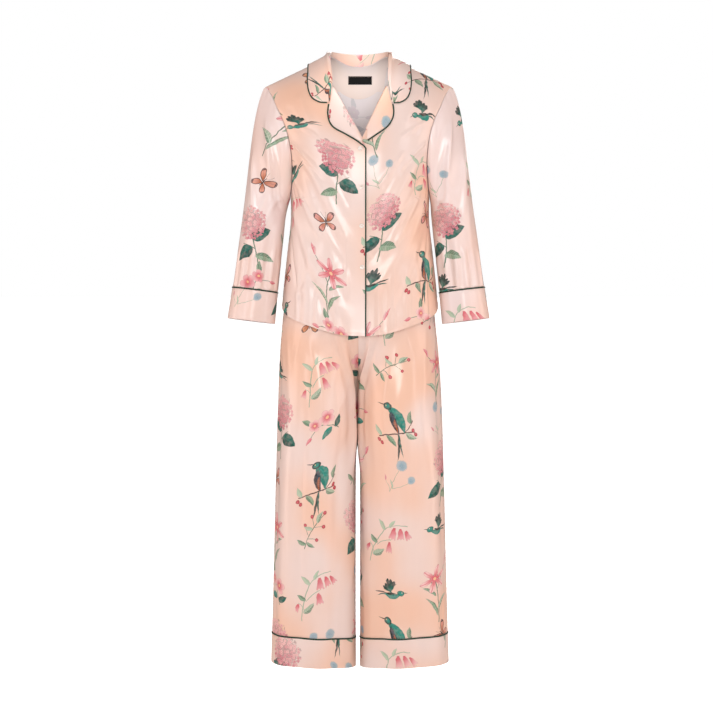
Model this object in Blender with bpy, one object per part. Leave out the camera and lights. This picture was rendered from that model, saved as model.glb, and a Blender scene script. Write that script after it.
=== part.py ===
"""Pyjama set: a satin shirt with a notched collar over wide-leg trousers, hollow as worn.

Metres, +Z up, the front faces -Y and +X is the wearer's left.
The origin is the centre of the neck base, level with the shoulder seams at the neck.
Every cut-and-sewn piece is a closed thin wall of its own.
"""

import bpy
import numpy as np
from mathutils import Vector
from mathutils.bvhtree import BVHTree

# Cloth and trim
WALL = 0.0012
SEAM = 0.0003
CUFF_WALL = 0.0018
LAPEL_WALL = 0.0008
COLLAR_WALL = 0.0014
FACING_WALL = 0.0008
PIPING_RADIUS = 0.0014
PIPING_REACH = PIPING_RADIUS + SEAM

# Shirt body
NECK_HALF = 0.066
NECK_DROP = 0.0225
SHOULDER_SLOPE = 0.4765
SHOULDER_FADE = 0.26
BODY_SQUARE = 0.045
BODY_LEAN = 0.0035
UNDERARM_DROP = 0.325
ARMHOLE_SWING = 32.0
ARMHOLE_TIP = 3.0
ARMHOLE_POWER = 0.65
ARMHOLE_STEPS = 14
LOWER_STEPS = 8
SEAM_SHIFT = 0.0003
ARMHOLE_GAP = 0.0013

# Buttons and label
BUTTON_RADIUS = 0.00525
BUTTON_THICK = 0.0020
LABEL_SIZE = (0.0550, 0.0195)
LABEL_CENTRE = (0.0037, -0.0507)
FACING_REACH = 0.275

# Sleeve axis below the armhole: centre at the upper and lower end
SLEEVE_TOP = (0.2176, -0.004, -0.375)
SLEEVE_FOOT = (0.2460, -0.020, -0.605)
SLEEVE_END = 0.1605
CUFF_START = SLEEVE_END + 2.0 * PIPING_REACH
CUFF_LENGTH = 0.070

# Trousers
CROTCH = (0.60, 0.79)
GAP_CENTRE = -0.0014
LEG_SCALE = {-1: 0.970, 1: 1.018}
HEM_INNER = 1.4050
HEM_RISE = 0.0110
BAND_HEIGHT = 0.066
WAISTBAND = (0.448, 0.4830)
WAIST_WALL = 0.0026

# Edges that bend more than this (radians) are shaded sharp
SHARP_BEND = 0.8

SATIN = ((0.89, 0.72, 0.64), 0.32)
GREEN = ((0.02, 0.07, 0.05), 0.45)
PEARL = ((0.92, 0.89, 0.85), 0.22)
BLACK = ((0.01, 0.01, 0.01), 0.60)


def table(names, *rows):
    """Rows of numbers as one array per named column."""
    return {name: np.array([row[i] for row in rows]) for i, name in enumerate(names)}


# Shirt body: half width and depths to the front and back, by drop below the shoulder line
TORSO = table(
    ("drop", "half", "front", "back"),
    (0.000, 0.2160, 0.0003, 0.0003),
    (0.012, 0.2165, 0.0340, 0.0450),
    (0.035, 0.2155, 0.0600, 0.0700),
    (0.070, 0.2120, 0.0820, 0.0870),
    (0.120, 0.1990, 0.1000, 0.1040),
    (0.180, 0.1820, 0.1140, 0.1130),
    (0.240, 0.1680, 0.1230, 0.1160),
    (0.310, 0.1600, 0.1250, 0.1150),
    (0.375, 0.1590, 0.1210, 0.1120),
    (0.450, 0.1670, 0.1180, 0.1130),
    (0.570, 0.1790, 0.1180, 0.1180),
    (0.650, 0.1840, 0.1220, 0.1240),
)
TORSO["reach"] = np.sqrt(TORSO["drop"])

# Shirttail hem: drop by angle from the centre front, and from the centre back
HEM_FRONT = table(
    ("angle", "drop"),
    (0, 0.637), (20, 0.634), (35, 0.622), (50, 0.606), (65, 0.594), (78, 0.582), (90, 0.570),
)
HEM_BACK = table(
    ("angle", "drop"),
    (0, 0.650), (20, 0.647), (35, 0.636), (50, 0.618), (65, 0.600), (78, 0.584), (90, 0.570),
)

# Inner edge of each front: neckline, roll line of the lapel, then the straight edge
EDGE_RIGHT = table(
    ("drop", "x"),
    (0.000, -0.0660), (0.020, -0.0655), (0.045, -0.0635), (0.071, -0.0590),
    (0.205, 0.0145), (0.700, 0.0145),
)
EDGE_LEFT = table(
    ("drop", "x"),
    (0.000, 0.0660), (0.020, 0.0675), (0.045, 0.0690), (0.062, 0.0690),
    (0.1835, 0.0100), (0.220, -0.0070), (0.260, -0.0080), (0.700, -0.0080),
)
ROWS_RIGHT = (
    0.0, 0.004, 0.014, 0.030, 0.050, 0.071, 0.094, 0.118, 0.146, 0.175, 0.205, 0.238, 0.270, 0.297, 0.318,
)
ROWS_LEFT = (
    0.0, 0.004, 0.014, 0.028, 0.045, 0.062, 0.084, 0.107, 0.131, 0.157, 0.1835, 0.220, 0.258, 0.292, 0.318,
)

# Lapels: roll line point and outer edge point of each section
LAPEL_RIGHT = table(
    ("roll_x", "roll_z", "edge_x", "edge_z", "turn"),
    (-0.0565, -0.0757, -0.0640, -0.1078, 0.25),
    (-0.0513, -0.0850, -0.0664, -0.1190, 0.60),
    (-0.0445, -0.0972, -0.0672, -0.1330, 1.00),
    (-0.0345, -0.1150, -0.0640, -0.1502, 1.00),
    (-0.0235, -0.1350, -0.0536, -0.1642, 1.00),
    (-0.0125, -0.1545, -0.0290, -0.1780, 1.00),
    (-0.0010, -0.1750, -0.0050, -0.1922, 0.80),
    (0.0090, -0.1930, 0.0070, -0.2010, 0.50),
)
LAPEL_LEFT = table(
    ("roll_x", "roll_z", "edge_x", "edge_z", "turn"),
    (0.0634, -0.0735, 0.0740, -0.1078, 0.25),
    (0.0588, -0.0830, 0.0766, -0.1190, 0.60),
    (0.0527, -0.0955, 0.0772, -0.1320, 1.00),
    (0.0454, -0.1107, 0.0737, -0.1462, 1.00),
    (0.0365, -0.1290, 0.0626, -0.1626, 1.00),
    (0.0268, -0.1490, 0.0414, -0.1778, 1.00),
    (0.0175, -0.1680, 0.0195, -0.1925, 0.90),
)
# Section of a lapel round its roll line: millimetres outward from the roll, and off the front
LAPEL_TURN = table(
    ("across", "out"),
    (4.5, -2.6), (1.5, -2.6), (-1.6, -1.9), (-2.6, 0.5), (-1.2, 2.8), (3.0, 3.7),
)
LAPEL_LEAF = table(("share", "out"), (0.35, 3.7), (0.68, 3.4), (1.0, 3.0))

# Collar sections from the centre back to the notch: neck seam, top of the stand, outer edge
COLLAR = table(
    (
        "seam_x", "seam_y", "seam_z", "roll_x", "roll_y", "roll_z", "edge_x", "edge_y", "edge_z", "lift",
    ),
    (0.0000, 0.0575, -0.0225, 0.0000, 0.0530, 0.0080, 0.0000, 0.0980, -0.0580, 0.0010),
    (0.0200, 0.0560, -0.0213, 0.0215, 0.0510, 0.0090, 0.0320, 0.0960, -0.0560, 0.0010),
    (0.0390, 0.0500, -0.0180, 0.0420, 0.0440, 0.0105, 0.0620, 0.0880, -0.0510, 0.0010),
    (0.0545, 0.0380, -0.0125, 0.0570, 0.0310, 0.0120, 0.0880, 0.0700, -0.0440, 0.0010),
    (0.0635, 0.0200, -0.0060, 0.0650, 0.0150, 0.0125, 0.1040, 0.0420, -0.0330, 0.0016),
    (0.0668, 0.0000, -0.0010, 0.0678, -0.0060, 0.0110, 0.1120, 0.0080, -0.0200, 0.0016),
    (0.0665, -0.0260, -0.0090, 0.0672, -0.0320, 0.0030, 0.1150, -0.0300, -0.0330, 0.0016),
    (0.0660, -0.0420, -0.0220, 0.0660, -0.0500, -0.0120, 0.1168, -0.0520, -0.0520, 0.0014),
    (0.0650, -0.0600, -0.0390, 0.0645, -0.0680, -0.0320, 0.1160, -0.0640, -0.0680, 0.0014),
    (0.0640, -0.0740, -0.0560, 0.0632, -0.0800, -0.0530, 0.1140, -0.0720, -0.0800, 0.0014),
    (0.0650, -0.0830, -0.0700, 0.0652, -0.0870, -0.0705, 0.1105, -0.0790, -0.0900, 0.0032),
    (0.0680, -0.0900, -0.0850, 0.0702, -0.0900, -0.0850, 0.1045, -0.0850, -0.0980, 0.0038),
    (0.0700, -0.0960, -0.1000, 0.0724, -0.0960, -0.1003, 0.0960, -0.0900, -0.1030, 0.0038),
    (0.0708, -0.0980, -0.1068, 0.0736, -0.0980, -0.1066, 0.0900, -0.0940, -0.1052, 0.0038),
)

# Sleeve section half sizes by distance down its axis
SLEEVE = table(
    ("down", "wide", "deep"),
    (0.000, 0.0492, 0.0475),
    (0.080, 0.0505, 0.0450),
    (0.160, 0.0522, 0.0420),
    (0.235, 0.0546, 0.0410),
)

# Trousers at the hips: half width and depths; and one leg: half width, depths and half gap
HIPS = table(
    ("drop", "half", "front", "back"),
    (0.480, 0.138, 0.1000, 0.1000),
    (0.530, 0.158, 0.1060, 0.1060),
    (0.570, 0.1695, 0.1085, 0.1100),
    (0.642, 0.1775, 0.1125, 0.1170),
    (0.720, 0.1830, 0.1140, 0.1200),
    (0.800, 0.1880, 0.1120, 0.1180),
)
LEG = table(
    ("drop", "half", "front", "back", "gap"),
    (0.600, 0.0900, 0.1100, 0.1140, 0.0008),
    (0.777, 0.0935, 0.1100, 0.1150, 0.0010),
    (0.872, 0.0948, 0.1060, 0.1100, 0.0014),
    (0.905, 0.0945, 0.1045, 0.1080, 0.0036),
    (1.000, 0.0955, 0.0990, 0.1020, 0.0048),
    (1.150, 0.0975, 0.0920, 0.0950, 0.0048),
    (1.300, 0.0995, 0.0870, 0.0900, 0.0048),
    (1.410, 0.1010, 0.0850, 0.0880, 0.0048),
)

# Large folds: a ridge (+) or valley (-) from one place to another, in metres round and down
SHIRT_FOLDS = table(
    ("angle", "drop", "to_angle", "to_drop", "width", "depth"),
    (-58, 0.170, -6, 0.440, 0.013, 0.0042),
    (-50, 0.235, -8, 0.500, 0.011, -0.0034),
    (-76, 0.320, -10, 0.590, 0.013, 0.0042),
    (-64, 0.370, -20, 0.610, 0.010, -0.0028),
    (60, 0.190, 10, 0.410, 0.013, 0.0042),
    (62, 0.255, 8, 0.470, 0.010, -0.0034),
    (74, 0.300, 7, 0.540, 0.013, 0.0038),
    (66, 0.385, 22, 0.590, 0.010, -0.0026),
    (-42, 0.430, -42, 0.640, 0.010, 0.0026),
    (-30, 0.460, -27, 0.650, 0.009, -0.0022),
    (21, 0.480, 19, 0.650, 0.010, 0.0028),
    (33, 0.470, 31, 0.640, 0.009, -0.0022),
    (46, 0.430, 46, 0.630, 0.010, 0.0026),
    (-38, 0.050, -34, 0.150, 0.008, 0.0022),
    (-47, 0.070, -42, 0.170, 0.008, -0.0020),
    (36, 0.050, 33, 0.150, 0.008, 0.0022),
    (48, 0.080, 42, 0.180, 0.008, -0.0020),
    (150, 0.300, 158, 0.660, 0.014, 0.0040),
    (166, 0.340, 168, 0.660, 0.012, -0.0032),
    (180, 0.280, 180, 0.660, 0.013, 0.0036),
    (194, 0.340, 192, 0.660, 0.012, -0.0032),
    (210, 0.300, 202, 0.660, 0.014, 0.0040),
    (130, 0.250, 140, 0.620, 0.013, -0.0030),
    (230, 0.250, 220, 0.620, 0.013, -0.0030),
)
# Sleeve folds: turn round the sleeve (0 outside, 90 front) and share of the length
SLEEVE_FOLDS = table(
    ("turn", "share", "to_turn", "to_share", "width", "depth"),
    (60, 0.10, 115, 0.62, 0.011, 0.0042),
    (75, 0.08, 135, 0.50, 0.010, -0.0034),
    (35, 0.25, 60, 0.80, 0.012, 0.0036),
    (95, 0.50, 88, 1.02, 0.009, 0.0030),
    (118, 0.55, 112, 1.02, 0.009, -0.0026),
    (62, 0.60, 62, 1.02, 0.009, -0.0024),
    (250, 0.15, 285, 0.80, 0.013, 0.0036),
    (285, 0.10, 310, 0.60, 0.011, -0.0030),
    (225, 0.45, 240, 1.02, 0.010, -0.0026),
    (200, 0.55, 205, 1.02, 0.010, 0.0024),
)
# Trouser folds: share round each half leg panel from the inner to the side seam, and drop
TROUSER_FOLDS = table(
    ("round", "drop", "to_round", "to_drop", "width", "depth"),
    (0.16, 0.72, 0.17, 1.45, 0.016, 0.0050),
    (0.31, 0.80, 0.32, 1.45, 0.015, -0.0042),
    (0.47, 0.66, 0.46, 1.45, 0.018, 0.0055),
    (0.63, 0.78, 0.61, 1.45, 0.015, -0.0042),
    (0.78, 0.70, 0.77, 1.45, 0.016, 0.0045),
)


# ---------------------------------------------------------------- numbers and shapes

def smooth(value):
    """Ease from 0 to 1."""
    value = np.clip(value, 0.0, 1.0)
    return value * value * (3.0 - 2.0 * value)


def track(rows, key, column, at):
    """Smooth curve through one column of a table."""
    keys = rows[key]
    values = rows[column]
    slopes = np.gradient(values, keys)
    at = np.clip(at, keys[0], keys[-1])
    i = np.clip(np.searchsorted(keys, at, side="right") - 1, 0, len(keys) - 2)
    span = keys[i + 1] - keys[i]
    t = (at - keys[i]) / span
    return (
        (2 * t ** 3 - 3 * t ** 2 + 1) * values[i]
        + (t ** 3 - 2 * t ** 2 + t) * span * slopes[i]
        + (3 * t ** 2 - 2 * t ** 3) * values[i + 1]
        + (t ** 3 - t ** 2) * span * slopes[i + 1]
    )


def unit(vectors):
    """Vectors scaled to length one."""
    length = np.linalg.norm(vectors, axis=-1, keepdims=True)
    return vectors / np.maximum(length, 1e-12)


def lifted(surface, u, v, out, step_u, step_v, sense):
    """Points of a surface moved along its outward normal."""
    across = surface(u + step_u, v) - surface(u - step_u, v)
    down = surface(u, v + step_v) - surface(u, v - step_v)
    normal = sense * unit(np.cross(across, down))
    return surface(u, v) + normal * np.asarray(out)[..., None]


def fold_height(folds, across, down, start, end):
    """Height of a set of folds at unrolled places (metres across, metres down)."""
    height = np.zeros(np.broadcast(across, down).shape)
    for (x0, y0), (x1, y1), width, depth in zip(start, end, folds["width"], folds["depth"]):
        length = (x1 - x0) ** 2 + (y1 - y0) ** 2
        t = np.clip(((across - x0) * (x1 - x0) + (down - y0) * (y1 - y0)) / length, 0.0, 1.0)
        away = (across - x0 - t * (x1 - x0)) ** 2 + (down - y0 - t * (y1 - y0)) ** 2
        height += depth * np.exp(-away / width ** 2) * smooth(4.0 * t) * smooth(6.0 * (1.0 - t) + 0.3)
    return height


# ---------------------------------------------------------------- shirt body

def body_lean(drop):
    """Sideways hang of the shirt below the chest."""
    return BODY_LEAN * smooth((drop - 0.10) / 0.25)


def torso_surface(theta, reach):
    """Shirt body: theta in degrees from the front, reach = root of the drop."""
    turn = np.radians(theta)
    reach = np.maximum(reach, 0.0)
    drop = reach ** 2
    half = track(TORSO, "reach", "half", reach)
    front = track(TORSO, "reach", "front", reach)
    back = track(TORSO, "reach", "back", reach)
    depth = np.where(np.cos(turn) >= 0.0, front, back)
    square = 1.0 + BODY_SQUARE * np.sin(2.0 * turn) ** 2
    x = half * np.sin(turn) * square + body_lean(drop)
    y = -depth * np.cos(turn) * square
    fade = 1.0 - smooth(drop / SHOULDER_FADE)
    z = -drop - SHOULDER_SLOPE * np.maximum(np.abs(x) - NECK_HALF, 0.0) * fade
    return np.stack([x, y, z], axis=-1)


def shirt_relief(theta, reach):
    """Height of the shirt's large folds."""
    turn = np.radians((theta + 540.0) % 360.0 - 180.0)
    total = 0.0
    for shift in (0.0, 2.0 * np.pi):
        across = (turn + shift) * 0.165
        start = zip(np.radians(SHIRT_FOLDS["angle"]) * 0.165, SHIRT_FOLDS["drop"])
        end = zip(np.radians(SHIRT_FOLDS["to_angle"]) * 0.165, SHIRT_FOLDS["to_drop"])
        total = total + fold_height(SHIRT_FOLDS, across, reach ** 2, start, end)
    return total


def torso(theta, reach, out=0.0):
    """Point on the folded shirt body, moved out by a distance."""
    theta, reach, out = np.broadcast_arrays(theta, reach, out)
    raised = out + shirt_relief(theta, reach)
    return lifted(torso_surface, theta, reach, raised, 0.05, 0.0005, -1.0)


def front_place(x, z):
    """Angle and reach on the body's front at a place seen from the front."""
    drop = np.maximum(-z, 0.0)
    theta = np.zeros(np.shape(drop))
    for _ in range(12):
        fade = 1.0 - smooth(drop / SHOULDER_FADE)
        drop = np.maximum(-z - SHOULDER_SLOPE * np.maximum(np.abs(x) - NECK_HALF, 0.0) * fade, 0.0)
        half = track(TORSO, "reach", "half", np.sqrt(drop))
        square = 1.0 + BODY_SQUARE * np.sin(2.0 * np.radians(theta)) ** 2
        theta = np.degrees(np.arcsin(np.clip((x - body_lean(drop)) / (half * square), -1.0, 1.0)))
    return theta, np.sqrt(drop)


def on_front(x, z, out):
    """Point off the shirt's front at a place seen from the front."""
    theta, reach = front_place(np.asarray(x, float), np.asarray(z, float))
    return torso(theta, reach, out)


def lap_right(x):
    """Rise of the wearer's right front where it laps over the left."""
    return 0.0012 * smooth((x + 0.045) / 0.033)


def lap_left(x):
    """Set-back of the wearer's left front where it lies under the right."""
    return -0.0018 * smooth((0.055 - x) / 0.032)


def armhole_swing(reach):
    """Degrees the armhole is cut in from the side at a reach."""
    share = np.clip(reach / np.sqrt(UNDERARM_DROP), 0.0, 1.0) ** (1.0 / ARMHOLE_POWER)
    psi = np.arccos(1.0 - 2.0 * share)
    return ARMHOLE_SWING * np.sin(psi) ** 0.9 + ARMHOLE_TIP * 0.5 * (1.0 + np.cos(psi))


def armhole_reach(psi):
    """Reach of the armhole curve at an angle round it (0 at the shoulder, 180 under the arm)."""
    return np.sqrt(UNDERARM_DROP) * ((1.0 - np.cos(np.radians(psi))) / 2.0) ** ARMHOLE_POWER


def side_drops():
    """Drops of the panel rows at the side: round the armhole, then down to the hem."""
    upper = armhole_reach(np.linspace(0.0, 180.0, ARMHOLE_STEPS + 1)) ** 2
    lower = np.linspace(UNDERARM_DROP, HEM_FRONT["drop"][-1], LOWER_STEPS + 1)[1:]
    return np.concatenate([upper, lower])


def front_panel(edge, centre_rows, side, lap, columns=12):
    """Outer and inner grids of one front, from its inner edge to the side seam."""
    sides = side_drops()[:, None]
    centre = np.concatenate([
        centre_rows,
        np.linspace(centre_rows[-1], HEM_FRONT["drop"][0], LOWER_STEPS + 1)[1:],
    ])[:, None]
    u = np.linspace(0.0, 1.0, columns + 1)[None, :]
    edge_angle = abs(np.degrees(np.arcsin(edge["x"][-1] / TORSO["half"][-1])))
    hem_angle = edge_angle + (90.0 - edge_angle) * u
    hem = track(HEM_FRONT, "angle", "drop", hem_angle)
    even = sides + (centre - sides) * (1.0 - u)
    plain_hem = sides[-1] + (centre[-1] - sides[-1]) * (1.0 - u)
    share = smooth((even - UNDERARM_DROP) / (plain_hem - UNDERARM_DROP))
    drop = even + (hem - plain_hem) * share
    reach = np.sqrt(np.maximum(drop, 0.0))
    x_edge = np.interp(drop, edge["drop"], edge["x"])
    inner = np.degrees(np.arcsin((x_edge - body_lean(drop)) / track(TORSO, "reach", "half", reach)))
    outer = side * (90.0 - armhole_swing(reach))
    theta = inner + (outer - inner) * u
    x = torso_surface(theta, reach)[..., 0]
    rise = lap(x)
    shift = np.array([0.0, -SEAM_SHIFT, 0.0])
    return torso(theta, reach, rise) + shift, torso(theta, reach, rise - WALL) + shift


def back_columns(neck_cells=10, side_cells=6):
    """Column places across the back, with one exactly at each end of the neckline."""
    u = np.linspace(0.0, 0.5, 400)
    x = torso_surface(180.0 - u * (90.0 - ARMHOLE_TIP), np.zeros(400))[:, 0]
    neck = np.interp(NECK_HALF, x, u)
    middle = neck * np.sin(np.linspace(-0.5, 0.5, neck_cells + 1) * np.pi)
    right = np.linspace(FACING_REACH, 1.0, side_cells)
    return np.concatenate([-right[::-1], middle, right])


def back_place(u, rows):
    """Angle and reach of the back panel's grid."""
    x = torso_surface(180.0 - u * (90.0 - ARMHOLE_TIP), np.zeros(np.shape(u)))[..., 0]
    top = NECK_DROP * np.maximum(1.0 - (x / NECK_HALF) ** 2, 0.0) ** 0.85
    hem = track(HEM_BACK, "angle", "drop", 90.0 * np.abs(u))
    upper = np.clip(rows / UNDERARM_DROP, 0.0, 1.0)
    share = smooth((rows - UNDERARM_DROP) / (HEM_FRONT["drop"][-1] - UNDERARM_DROP))
    drop = rows + top * (1.0 - upper) + (hem - HEM_FRONT["drop"][-1]) * share
    reach = np.sqrt(np.maximum(drop, 0.0))
    theta = 180.0 - u * (90.0 - armhole_swing(reach))
    return theta, reach


def back_panel():
    """Outer and inner grids of the back."""
    theta, reach = back_place(back_columns()[None, :], side_drops()[:, None])
    shift = np.array([0.0, SEAM_SHIFT, 0.0])
    return torso(theta, reach, 0.0) + shift, torso(theta, reach, -WALL) + shift


def back_facing():
    """Grids of the facing inside the back neck, on the back's own columns and rows."""
    columns = back_columns()
    u = columns[np.abs(columns) <= FACING_REACH + 1e-6][None, :]
    rows = side_drops()
    rows = np.concatenate([rows[(rows > 0.004) & (rows < 0.070)], [0.0775]])[:, None]
    theta, reach = back_place(u, rows)
    out = -(WALL + 0.0008)
    shift = np.array([0.0, SEAM_SHIFT, 0.0])
    return torso(theta, reach, out) + shift, torso(theta, reach, out - FACING_WALL) + shift


def label():
    """Grids of the plain label on the back facing."""
    wide, tall = LABEL_SIZE
    x = LABEL_CENTRE[0] + np.linspace(-0.5, 0.5, 7)[None, :] * wide
    drop = -LABEL_CENTRE[1] + np.linspace(-0.5, 0.5, 3)[:, None] * tall
    half = track(TORSO, "reach", "half", np.sqrt(drop))
    theta = 180.0 - np.degrees(np.arcsin(x / half))
    out = -(WALL + 0.0008 + FACING_WALL + 0.0011)
    shift = np.array([0.0, SEAM_SHIFT, 0.0])
    reach = np.sqrt(drop) + 0.0 * x
    return torso(theta, reach, out) + shift, torso(theta, reach, out - 0.0006) + shift


# ---------------------------------------------------------------- lapels, collar, piping

def lapel_rows(rows, lap, sense):
    """Places (x, z, out) of a lapel's sections, round the roll and out to the edge."""
    roll = np.stack([rows["roll_x"], rows["roll_z"]], axis=-1)
    edge = np.stack([rows["edge_x"], rows["edge_z"]], axis=-1)
    along = unit(np.gradient(roll, axis=0))
    outward = sense * np.stack([-along[:, 1], along[:, 0]], axis=-1)
    places = []
    tight = rows["turn"]
    for across, out in zip(LAPEL_TURN["across"], LAPEL_TURN["out"]):
        step = np.where(across > 0.0, across * tight, across)
        spot = roll + outward * step[:, None] * 0.001
        places.append((spot, np.full(len(roll), out * 0.001)))
    start = roll + outward * (3.0 * tight)[:, None] * 0.001
    for share, out in zip(LAPEL_LEAF["share"], LAPEL_LEAF["out"]):
        places.append((start + (edge - start) * share, np.full(len(roll), out * 0.001)))
    spots = np.stack([spot for spot, _ in places], axis=1)
    outs = np.stack([out for _, out in places], axis=1)
    return spots, outs + lap(spots[..., 0])


def grid_normals(grid, wrap=False):
    """Normals of a grid of points from its neighbours."""
    down = np.gradient(grid, axis=0)
    if wrap:
        across = np.roll(grid, -1, axis=1) - np.roll(grid, 1, axis=1)
    else:
        across = np.gradient(grid, axis=1)
    return unit(np.cross(across, down))


def lapel(rows, lap, sense):
    """Outer and inner grids of one lapel."""
    spots, outs = lapel_rows(rows, lap, sense)
    outer = on_front(spots[..., 0], spots[..., 1], outs)
    normal = grid_normals(outer)
    if np.mean(normal[:, -2, 1]) > 0.0:
        normal = -normal
    return outer, outer - normal * LAPEL_WALL


def panel_tree(grids):
    """Search tree of the shirt's outer surfaces."""
    points = []
    quads = []
    for grid in grids:
        rows, columns = grid.shape[:2]
        first = len(points)
        points.extend(Vector(p) for p in grid.reshape(-1, 3))
        for i in range(rows - 1):
            for j in range(columns - 1):
                a = first + i * columns + j
                quads.append((a, a + 1, a + columns + 1, a + columns))
    return BVHTree.FromPolygons(points, quads)


def settled(points, tree, height):
    """Points laid at a height over the shirt's outer surface."""
    laid = np.empty_like(points)
    for index in np.ndindex(points.shape[:-1]):
        spot = Vector(points[index])
        near, normal, _, _ = tree.find_nearest(spot)
        centre = Vector((0.0, 0.0, near.z - 0.06))
        if normal.dot(near - centre) < 0.0:
            normal = -normal
        laid[index] = near + normal * float(height[index])
    return laid


def neck_lean(points):
    """Points carried sideways: the closed neck sits a little toward the wearer's left."""
    low = np.clip(-points[..., 2] / 0.1, 0.0, 1.0)
    near = np.clip((0.1165 - np.abs(points[..., 0])) / 0.05, 0.0, 1.0)
    moved = points.copy()
    moved[..., 0] += 0.0022 + 0.0028 * low * near
    return moved


def collar_rows(side):
    """Seam, roll and edge points of one side of the collar, centre back to notch."""
    fine = np.linspace(0.0, len(COLLAR["seam_x"]) - 1.0, 20)
    rows = dict(COLLAR, at=np.arange(len(COLLAR["seam_x"]), dtype=float))
    lines = []
    for line in ("seam", "roll", "edge"):
        x, y, z = (track(rows, "at", line + axis, fine) for axis in ("_x", "_y", "_z"))
        lines.append(neck_lean(np.stack([side * x, y, z], axis=-1)))
    return *lines, track(rows, "at", "lift", fine)


def collar_side(tree, side):
    """Points of one side of the collar, over the stand and down the fall."""
    seam, roll, edge, lift = collar_rows(side)
    seam = settled(seam, tree, lift)
    outward = unit(seam * (1.0, 1.0, 0.0) + (0.0, -0.01, 0.0))
    rise = np.minimum(0.0045, 0.5 * np.linalg.norm(roll - seam, axis=-1))
    stand = []
    for share, bow in ((0.0, 0.0), (0.34, 0.0012), (0.68, 0.0012), (0.92, 0.0003)):
        stand.append(seam + (roll - seam) * share - outward * bow * np.minimum(1.0, rise / 0.004)[:, None])
    leaf = np.array([0.06, 0.16, 0.34, 0.56, 0.78, 1.0])
    fall = roll[:, None, :] + (edge - roll)[:, None, :] * leaf[None, :, None]
    arch = smooth(leaf / 0.06) * (1.0 - smooth((leaf - 0.06) / 0.34))
    fall = fall + outward[:, None, :] * rise[:, None, None] * arch[None, :, None]
    ridge = np.exp(-(fall[..., 1] / 0.025) ** 2) * (np.abs(fall[..., 0]) > 0.06)
    height = 0.0054 - 0.0012 * smooth(leaf)[None, :] + 0.0014 * ridge
    laid = settled(fall, tree, height)
    blend = smooth((leaf - 0.02) / 0.32)[None, :, None]
    fall = fall + (laid - fall) * blend
    return np.concatenate([np.stack(stand, axis=1), fall], axis=1)


def collar(tree):
    """Outer and inner grids of the collar, notch to notch."""
    outer = np.concatenate([collar_side(tree, -1)[::-1], collar_side(tree, 1)[1:]], axis=0)
    normal = grid_normals(outer)
    middle = len(outer) // 2
    if normal[middle, -2, 1] < 0.0:
        normal = -normal
    return outer, outer - normal * COLLAR_WALL


def beside(line, normals, inside, reach):
    """Line set off a piece's outline, in its surface and away from its inside, with mitred bends."""
    steps = np.diff(line, axis=0)
    facing = normals[:-1] + normals[1:]
    away = unit(np.cross(steps, facing))
    middle = 0.5 * (line[:-1] + line[1:]) - 0.5 * (inside[:-1] + inside[1:])
    if np.sum(away * middle) < 0.0:
        away = -away
    before = np.concatenate([away[:1], away])
    after = np.concatenate([away, away[-1:]])
    share = 1.0 + np.sum(before * after, axis=-1, keepdims=True)
    return line + (before + after) * reach / np.maximum(share, 0.6)


def collar_line(grids):
    """Line of the collar's piping: round one end, the outer edge, and the other end."""
    middle = 0.5 * (grids[0] + grids[1])
    normal = unit(grids[0] - grids[1])
    near = slice(5, -1)
    outline = []
    for grid in (middle, normal):
        outline.append(np.concatenate([grid[0, near], grid[:, -1], grid[-1, near][::-1]]))
    count = middle.shape[1] - 6
    inside = np.concatenate([
        np.repeat(middle[2:3, -3], count, axis=0), middle[:, -3], np.repeat(middle[-3:-2, -3], count, axis=0),
    ])
    return beside(outline[0], outline[1], inside, PIPING_REACH)


def lapel_line(rows, lap):
    """Line of a lapel's piping, begun just below the notch."""
    edge = np.stack([rows["edge_x"], rows["edge_z"]], axis=-1)
    start = edge[0] + (edge[1] - edge[0]) * 0.45
    edge = np.concatenate([start[None, :], edge[1:]])
    steps = unit(np.diff(edge, axis=0))
    side = np.sign(edge[0, 0])
    away = side * np.stack([-steps[:, 1], steps[:, 0]], axis=-1)
    before = np.concatenate([away[:1], away])
    after = np.concatenate([away, away[-1:]])
    share = 1.0 + np.sum(before * after, axis=-1, keepdims=True)
    line = edge + (before + after) * (PIPING_REACH + 0.0003) / share
    return on_front(line[:, 0], line[:, 1], LAPEL_LEAF["out"][-1] * 0.001 - 0.0002 + lap(line[:, 0]))


def front_line(x, start, end, count, out):
    """Line down the front at a fixed distance from the centre."""
    z = np.linspace(start, end, count)
    return on_front(np.full(count, x), z, np.full(count, out))


# ---------------------------------------------------------------- sleeves

def axis_frame(side):
    """Direction of a sleeve's axis and of its outer side, and the axis length."""
    top = np.array(SLEEVE_TOP) * (side, 1.0, 1.0)
    foot = np.array(SLEEVE_FOOT) * (side, 1.0, 1.0)
    length = np.linalg.norm(foot - top)
    axis = (foot - top) / length
    outer = unit(np.array([side, 0.0, 0.0]) - axis * axis[0] * side)
    return top, axis, outer, np.cross(outer, axis) * side


def sleeve_ring(side, psi, down, out=0.0):
    """Points round the straight part of a sleeve, cut square to its axis."""
    top, axis, outer, front = axis_frame(side)
    if front[1] > 0.0:
        front = -front
    turn = np.radians(psi)[..., None]
    wide = (track(SLEEVE, "down", "wide", down) + out)[..., None]
    deep = (track(SLEEVE, "down", "deep", down) + out)[..., None]
    centre = top + axis * np.asarray(down)[..., None]
    return centre + outer * np.cos(turn) * wide + front * np.sin(turn) * deep


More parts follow.
